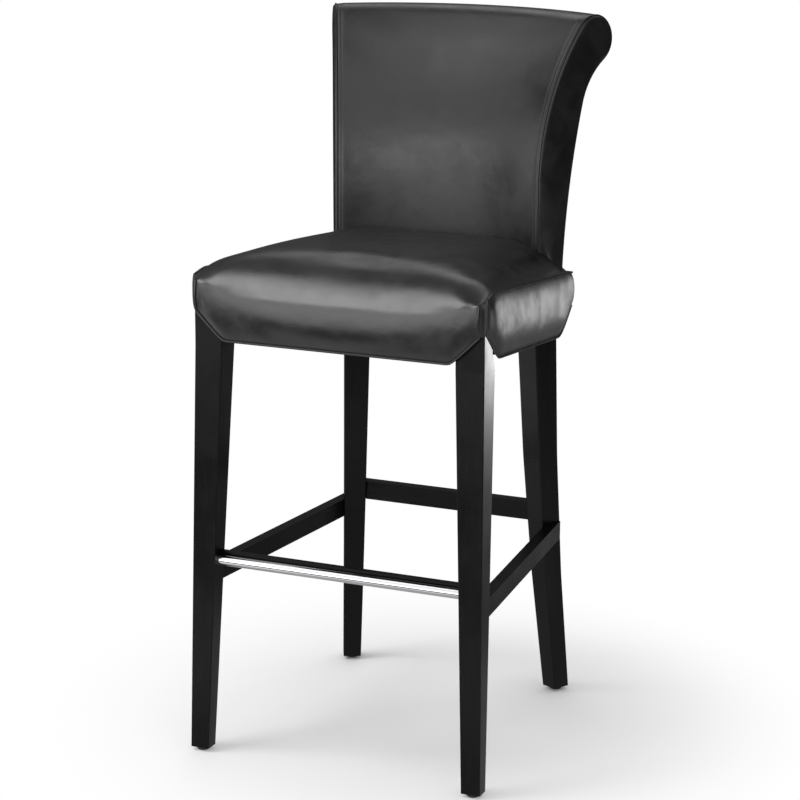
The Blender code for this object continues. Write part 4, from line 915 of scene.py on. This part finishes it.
def stitching_tree(material):
    """Geometry nodes that lay stitches along a line."""
    tree = bpy.data.node_groups.new("row_of_stitches", 'GeometryNodeTree')
    tree.is_modifier = True
    tree.interface.new_socket("Geometry", in_out='INPUT', socket_type='NodeSocketGeometry')
    for size in ("Pitch", "Stitch Length", "Thread Radius"):
        tree.interface.new_socket(size, in_out='INPUT', socket_type='NodeSocketFloat')
    tree.interface.new_socket("Geometry", in_out='OUTPUT', socket_type='NodeSocketGeometry')

    def add(kind, settings=None, **sockets):
        node = tree.nodes.new(kind)
        for name, value in (settings or {}).items():
            setattr(node, name, value)
        for name, value in sockets.items():
            socket = node.inputs[name.replace("_", " ")]
            if isinstance(value, bpy.types.NodeSocket):
                tree.links.new(value, socket)
            else:
                socket.default_value = value
        return node

    sizes = add("NodeGroupInput").outputs
    path = add("GeometryNodeMeshToCurve", Mesh=sizes["Geometry"])
    places = add("GeometryNodeResampleCurve", {"mode": 'LENGTH'}, Curve=path.outputs[0],
                 Length=sizes["Pitch"])
    turn = add("FunctionNodeAlignRotationToVector", {"axis": 'Z'},
               Vector=add("GeometryNodeInputTangent").outputs[0])
    half = add("ShaderNodeMath", {"operation": 'MULTIPLY'}, Value=sizes["Stitch Length"])
    half.inputs[1].default_value = 0.5
    shape = add("ShaderNodeCombineXYZ", X=sizes["Thread Radius"], Y=sizes["Thread Radius"],
                Z=half.outputs[0])
    stitch = add("GeometryNodeMeshUVSphere", Segments=8, Rings=6, Radius=1.0)
    laid = add("GeometryNodeInstanceOnPoints", Points=places.outputs[0], Instance=stitch.outputs[0],
               Rotation=turn.outputs[0], Scale=shape.outputs[0])
    real = add("GeometryNodeRealizeInstances", Geometry=laid.outputs[0])
    covered = add("GeometryNodeSetMaterial", Geometry=real.outputs[0])
    covered.inputs["Material"].default_value = material
    add("NodeGroupOutput", Geometry=covered.outputs[0])
    return tree


stitching = stitching_tree(thread.material)
stitch_foot = seat_under(BACK_FRONT_RADIUS, BACK_HALF_ANGLE) + STITCH_START
for name, column in (("right", TOPSTITCH_COLUMN), ("left", -1 - TOPSTITCH_COLUMN)):
    line = []
    for point in back_panel[column]:
        _, spot, normal, _ = back.closest_point_on_mesh(Vector(point))
        if point[2] > stitch_foot:
            line.append(spot + normal * THREAD_RADIUS * THREAD_RAISED)
    row = as_piece(f"back_{name}_topstitch", line, [], thread.material, smooth=False)
    row.data.edges.add(len(line) - 1)
    row.data.edges.foreach_set("vertices", [end for k in range(len(line) - 1) for end in (k, k + 1)])
    stitched = row.modifiers.new("stitches", 'NODES')
    stitched.node_group = stitching
    sizes = {"Pitch": STITCH_PITCH, "Stitch Length": STITCH_LENGTH, "Thread Radius": THREAD_RADIUS}
    for item in stitching.interface.items_tree:
        if item.name in sizes:
            stitched[item.identifier] = sizes[item.name]
    settled(row)
    row.data.shade_smooth()
    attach(row, "root")


# Studio: a pale floor that turns white away from the stool and stays darker where it is mirrored
# under and behind it, a key light above, weak lights in front, at the left and behind, soft boxes
# that each light one piece, and the camera where the photograph was taken from.

CAMERA_PLACE = (1.457006, -3.417607, 1.458988)
CAMERA_RIGHT = (0.9178, 0.3969, 0.0054)
CAMERA_UP = (-0.1021, 0.2230, 0.9695)
CAMERA_BACK = (0.3836, -0.8903, 0.2452)
LENS = 109.75

camera_data = bpy.data.cameras.new("camera")
camera_data.lens = LENS
camera_data.sensor_width = 36
camera = bpy.data.objects.new("camera", camera_data)
bpy.context.scene.collection.objects.link(camera)
turn = Matrix((CAMERA_RIGHT, CAMERA_UP, CAMERA_BACK)).transposed()
camera.matrix_world = Matrix.Translation(CAMERA_PLACE) @ turn.to_4x4()
camera_data.clip_start, camera_data.clip_end = 0.05, 60
bpy.context.scene.camera = camera

FLOOR_HALF = 30
FLOOR_NEAR, FLOOR_FAR = 0.22, 0.68
SWEEP_FRONT, SWEEP_REACH, SWEEP_FADE = 0.80, 2.90, 0.40
STUDIO_DARK = 0.12
REAR_SHADE, REAR_START, REAR_END = 0.22, 0.10, 0.50
NEAR_SHADE, SHADE_NEAR, SHADE_FAR = 0.40, 0.45, 1.00

floor_finish = Finish("floor", (0.82, 0.82, 0.82), 0.9, specular=0.1)
ground = floor_finish.node("ShaderNodeSeparateXYZ", {}, {0: floor_finish.place()})
away = (ground.out("X") ** 2.0 + ground.out("Y") ** 2.0) ** 0.5
rays = floor_finish.node("ShaderNodeLightPath")
seen = rays.out("Is Camera Ray") + rays.out("Is Transmission Ray")
sweep = floor_finish.ease(ground.out("Y"), -SWEEP_FRONT - SWEEP_FADE, -SWEEP_FRONT, STUDIO_DARK, 1.0)
sweep = sweep * floor_finish.ease(away, SWEEP_REACH, SWEEP_REACH + SWEEP_FADE, 1.0, STUDIO_DARK)
sweep = sweep * floor_finish.ease(ground.out("Y"), REAR_START, REAR_END, 1.0, REAR_SHADE)
sweep = sweep * floor_finish.ease(away, SHADE_NEAR, SHADE_FAR, NEAR_SHADE, 1.0)
sweep = sweep.maths('MAXIMUM', sweep, rays.out("Is Camera Ray"))
bright = floor_finish.node("ShaderNodeEmission", {}, {"Color": (1, 1, 1, 1), "Strength": sweep})
whiter = floor_finish.ease(away, FLOOR_NEAR, FLOOR_FAR) * seen + rays.out("Is Glossy Ray")
mixed = floor_finish.node("ShaderNodeMixShader", {}, {
    0: whiter, 1: Signal(floor_finish, floor_finish.shader.outputs[0]), 2: bright.out()})
floor_output = floor_finish.tree.nodes["Material Output"]
floor_finish.tree.links.new(mixed.out().socket, floor_output.inputs["Surface"])
floor_corners = [(-FLOOR_HALF, -FLOOR_HALF, 0), (FLOOR_HALF, -FLOOR_HALF, 0),
                 (FLOOR_HALF, FLOOR_HALF, 0), (-FLOOR_HALF, FLOOR_HALF, 0)]
floor = as_piece("floor", floor_corners, [(0, 1, 2, 3)], floor_finish.material, smooth=False)


def soft_light(name, place, target, width, height, strength, *pieces):
    """A soft box whose face shines at a strength, where 1 is white, on all or some of the pieces."""
    data = bpy.data.lights.new(name, 'AREA')
    data.shape = 'RECTANGLE'
    data.size, data.size_y = width, height
    data.energy = strength * math.pi * width * height
    lamp = bpy.data.objects.new(name, data)
    bpy.context.scene.collection.objects.link(lamp)
    lamp.location = place
    lamp.rotation_euler = (Vector(target) - Vector(place)).to_track_quat('-Z', 'Y').to_euler()
    lamp.visible_camera = False
    if pieces:
        lit = bpy.data.collections.new(name + "_falls_on")
        for piece in pieces:
            lit.objects.link(piece)
        lamp.light_linking.receiver_collection = lit
        lamp.light_linking.blocker_collection = lit
    return lamp


key = soft_light("key_light", (-1.7, -1.3, 3.0), (0, 0, 0.4), 1.3, 1.3, 8.0)
key.visible_glossy = False
soft_light("rear_top_light", (-0.3, 1.5, 2.7), (0, 0, 0.75), 2.0, 0.9, 1.2)
soft_light("front_fill", (-0.65, -2.75, 0.72), (0, 0, 0.72), 3.6, 1.0, 2.0)
soft_light("left_fill", (-2.70, -0.60, 0.85), (0, 0, 0.85), 1.6, 1.2, 1.5)
soft_light("seat_light", (-0.50, -1.06, 1.49), (0, -0.27, 0.72), 1.1, 0.90, 4.2, seat, *side_welts)
soft_light("seat_side_light", (0.85, 2.45, 0.32), (0, 0, 0.32), 0.95, 0.58, 2.3, seat)
soft_light("seat_flank_light", (1.75, 0.70, 0.32), (0.23, -0.2, 0.68), 0.8, 0.36, 1.9, seat)
soft_light("seat_corner_light", (-2.10, -1.00, 0.27), (-0.2, -0.27, 0.68), 1.1, 0.40, 2.4, seat)
soft_light("rail_light", (-0.46, -0.44, 1.42), (0, -0.31, 0.33), 0.9, 1.20, 1.0, tube)
soft_light("back_light", (-0.62, -0.35, 2.20), (0, 0.20, 1.00), 1.2, 0.9, 0.8, back)
soft_light("leg_light", (1.10, 1.69, 0.26), (0.24, -0.27, 0.60), 0.9, 0.28, 11.0,
           wooden["leg_front_right"])

# The world is white to the camera. The stool mirrors a dim room that is pale in front.

ROOM_DIFFUSE, ROOM_FRONT, ROOM_TOP, ROOM_DARK = 0.80, 0.85, 0.22, 0.09
FRONT_START, FRONT_END = -0.20, -0.65
FRONT_TOP_START, FRONT_TOP_END = 0.70, 0.92
TOP_START, TOP_END = 0.30, 0.80

world = bpy.data.worlds.new("studio")
bpy.context.scene.world = world
world.use_nodes = True
room = Graph(world.node_tree)
aim = room.node("ShaderNodeSeparateXYZ", {}, {0: room.node("ShaderNodeTexCoord").out("Generated")})
rays = room.node("ShaderNodeLightPath")
pale = room.ease(aim.out("Y"), FRONT_START, FRONT_END, 0.0, ROOM_FRONT)
pale = pale * room.ease(aim.out("Z"), FRONT_TOP_END, FRONT_TOP_START)
pale = pale + room.ease(aim.out("Z"), TOP_START, TOP_END, 0.0, ROOM_TOP) + ROOM_DARK
strength = pale * rays.out("Is Glossy Ray") + rays.out("Is Camera Ray")
strength = strength + rays.out("Is Diffuse Ray") * ROOM_DIFFUSE
sky = world.node_tree.nodes["Background"]
sky.inputs["Color"].default_value = (1, 1, 1, 1)
world.node_tree.links.new(strength.socket, sky.inputs["Strength"])

bpy.context.scene.view_settings.view_transform = 'Standard'
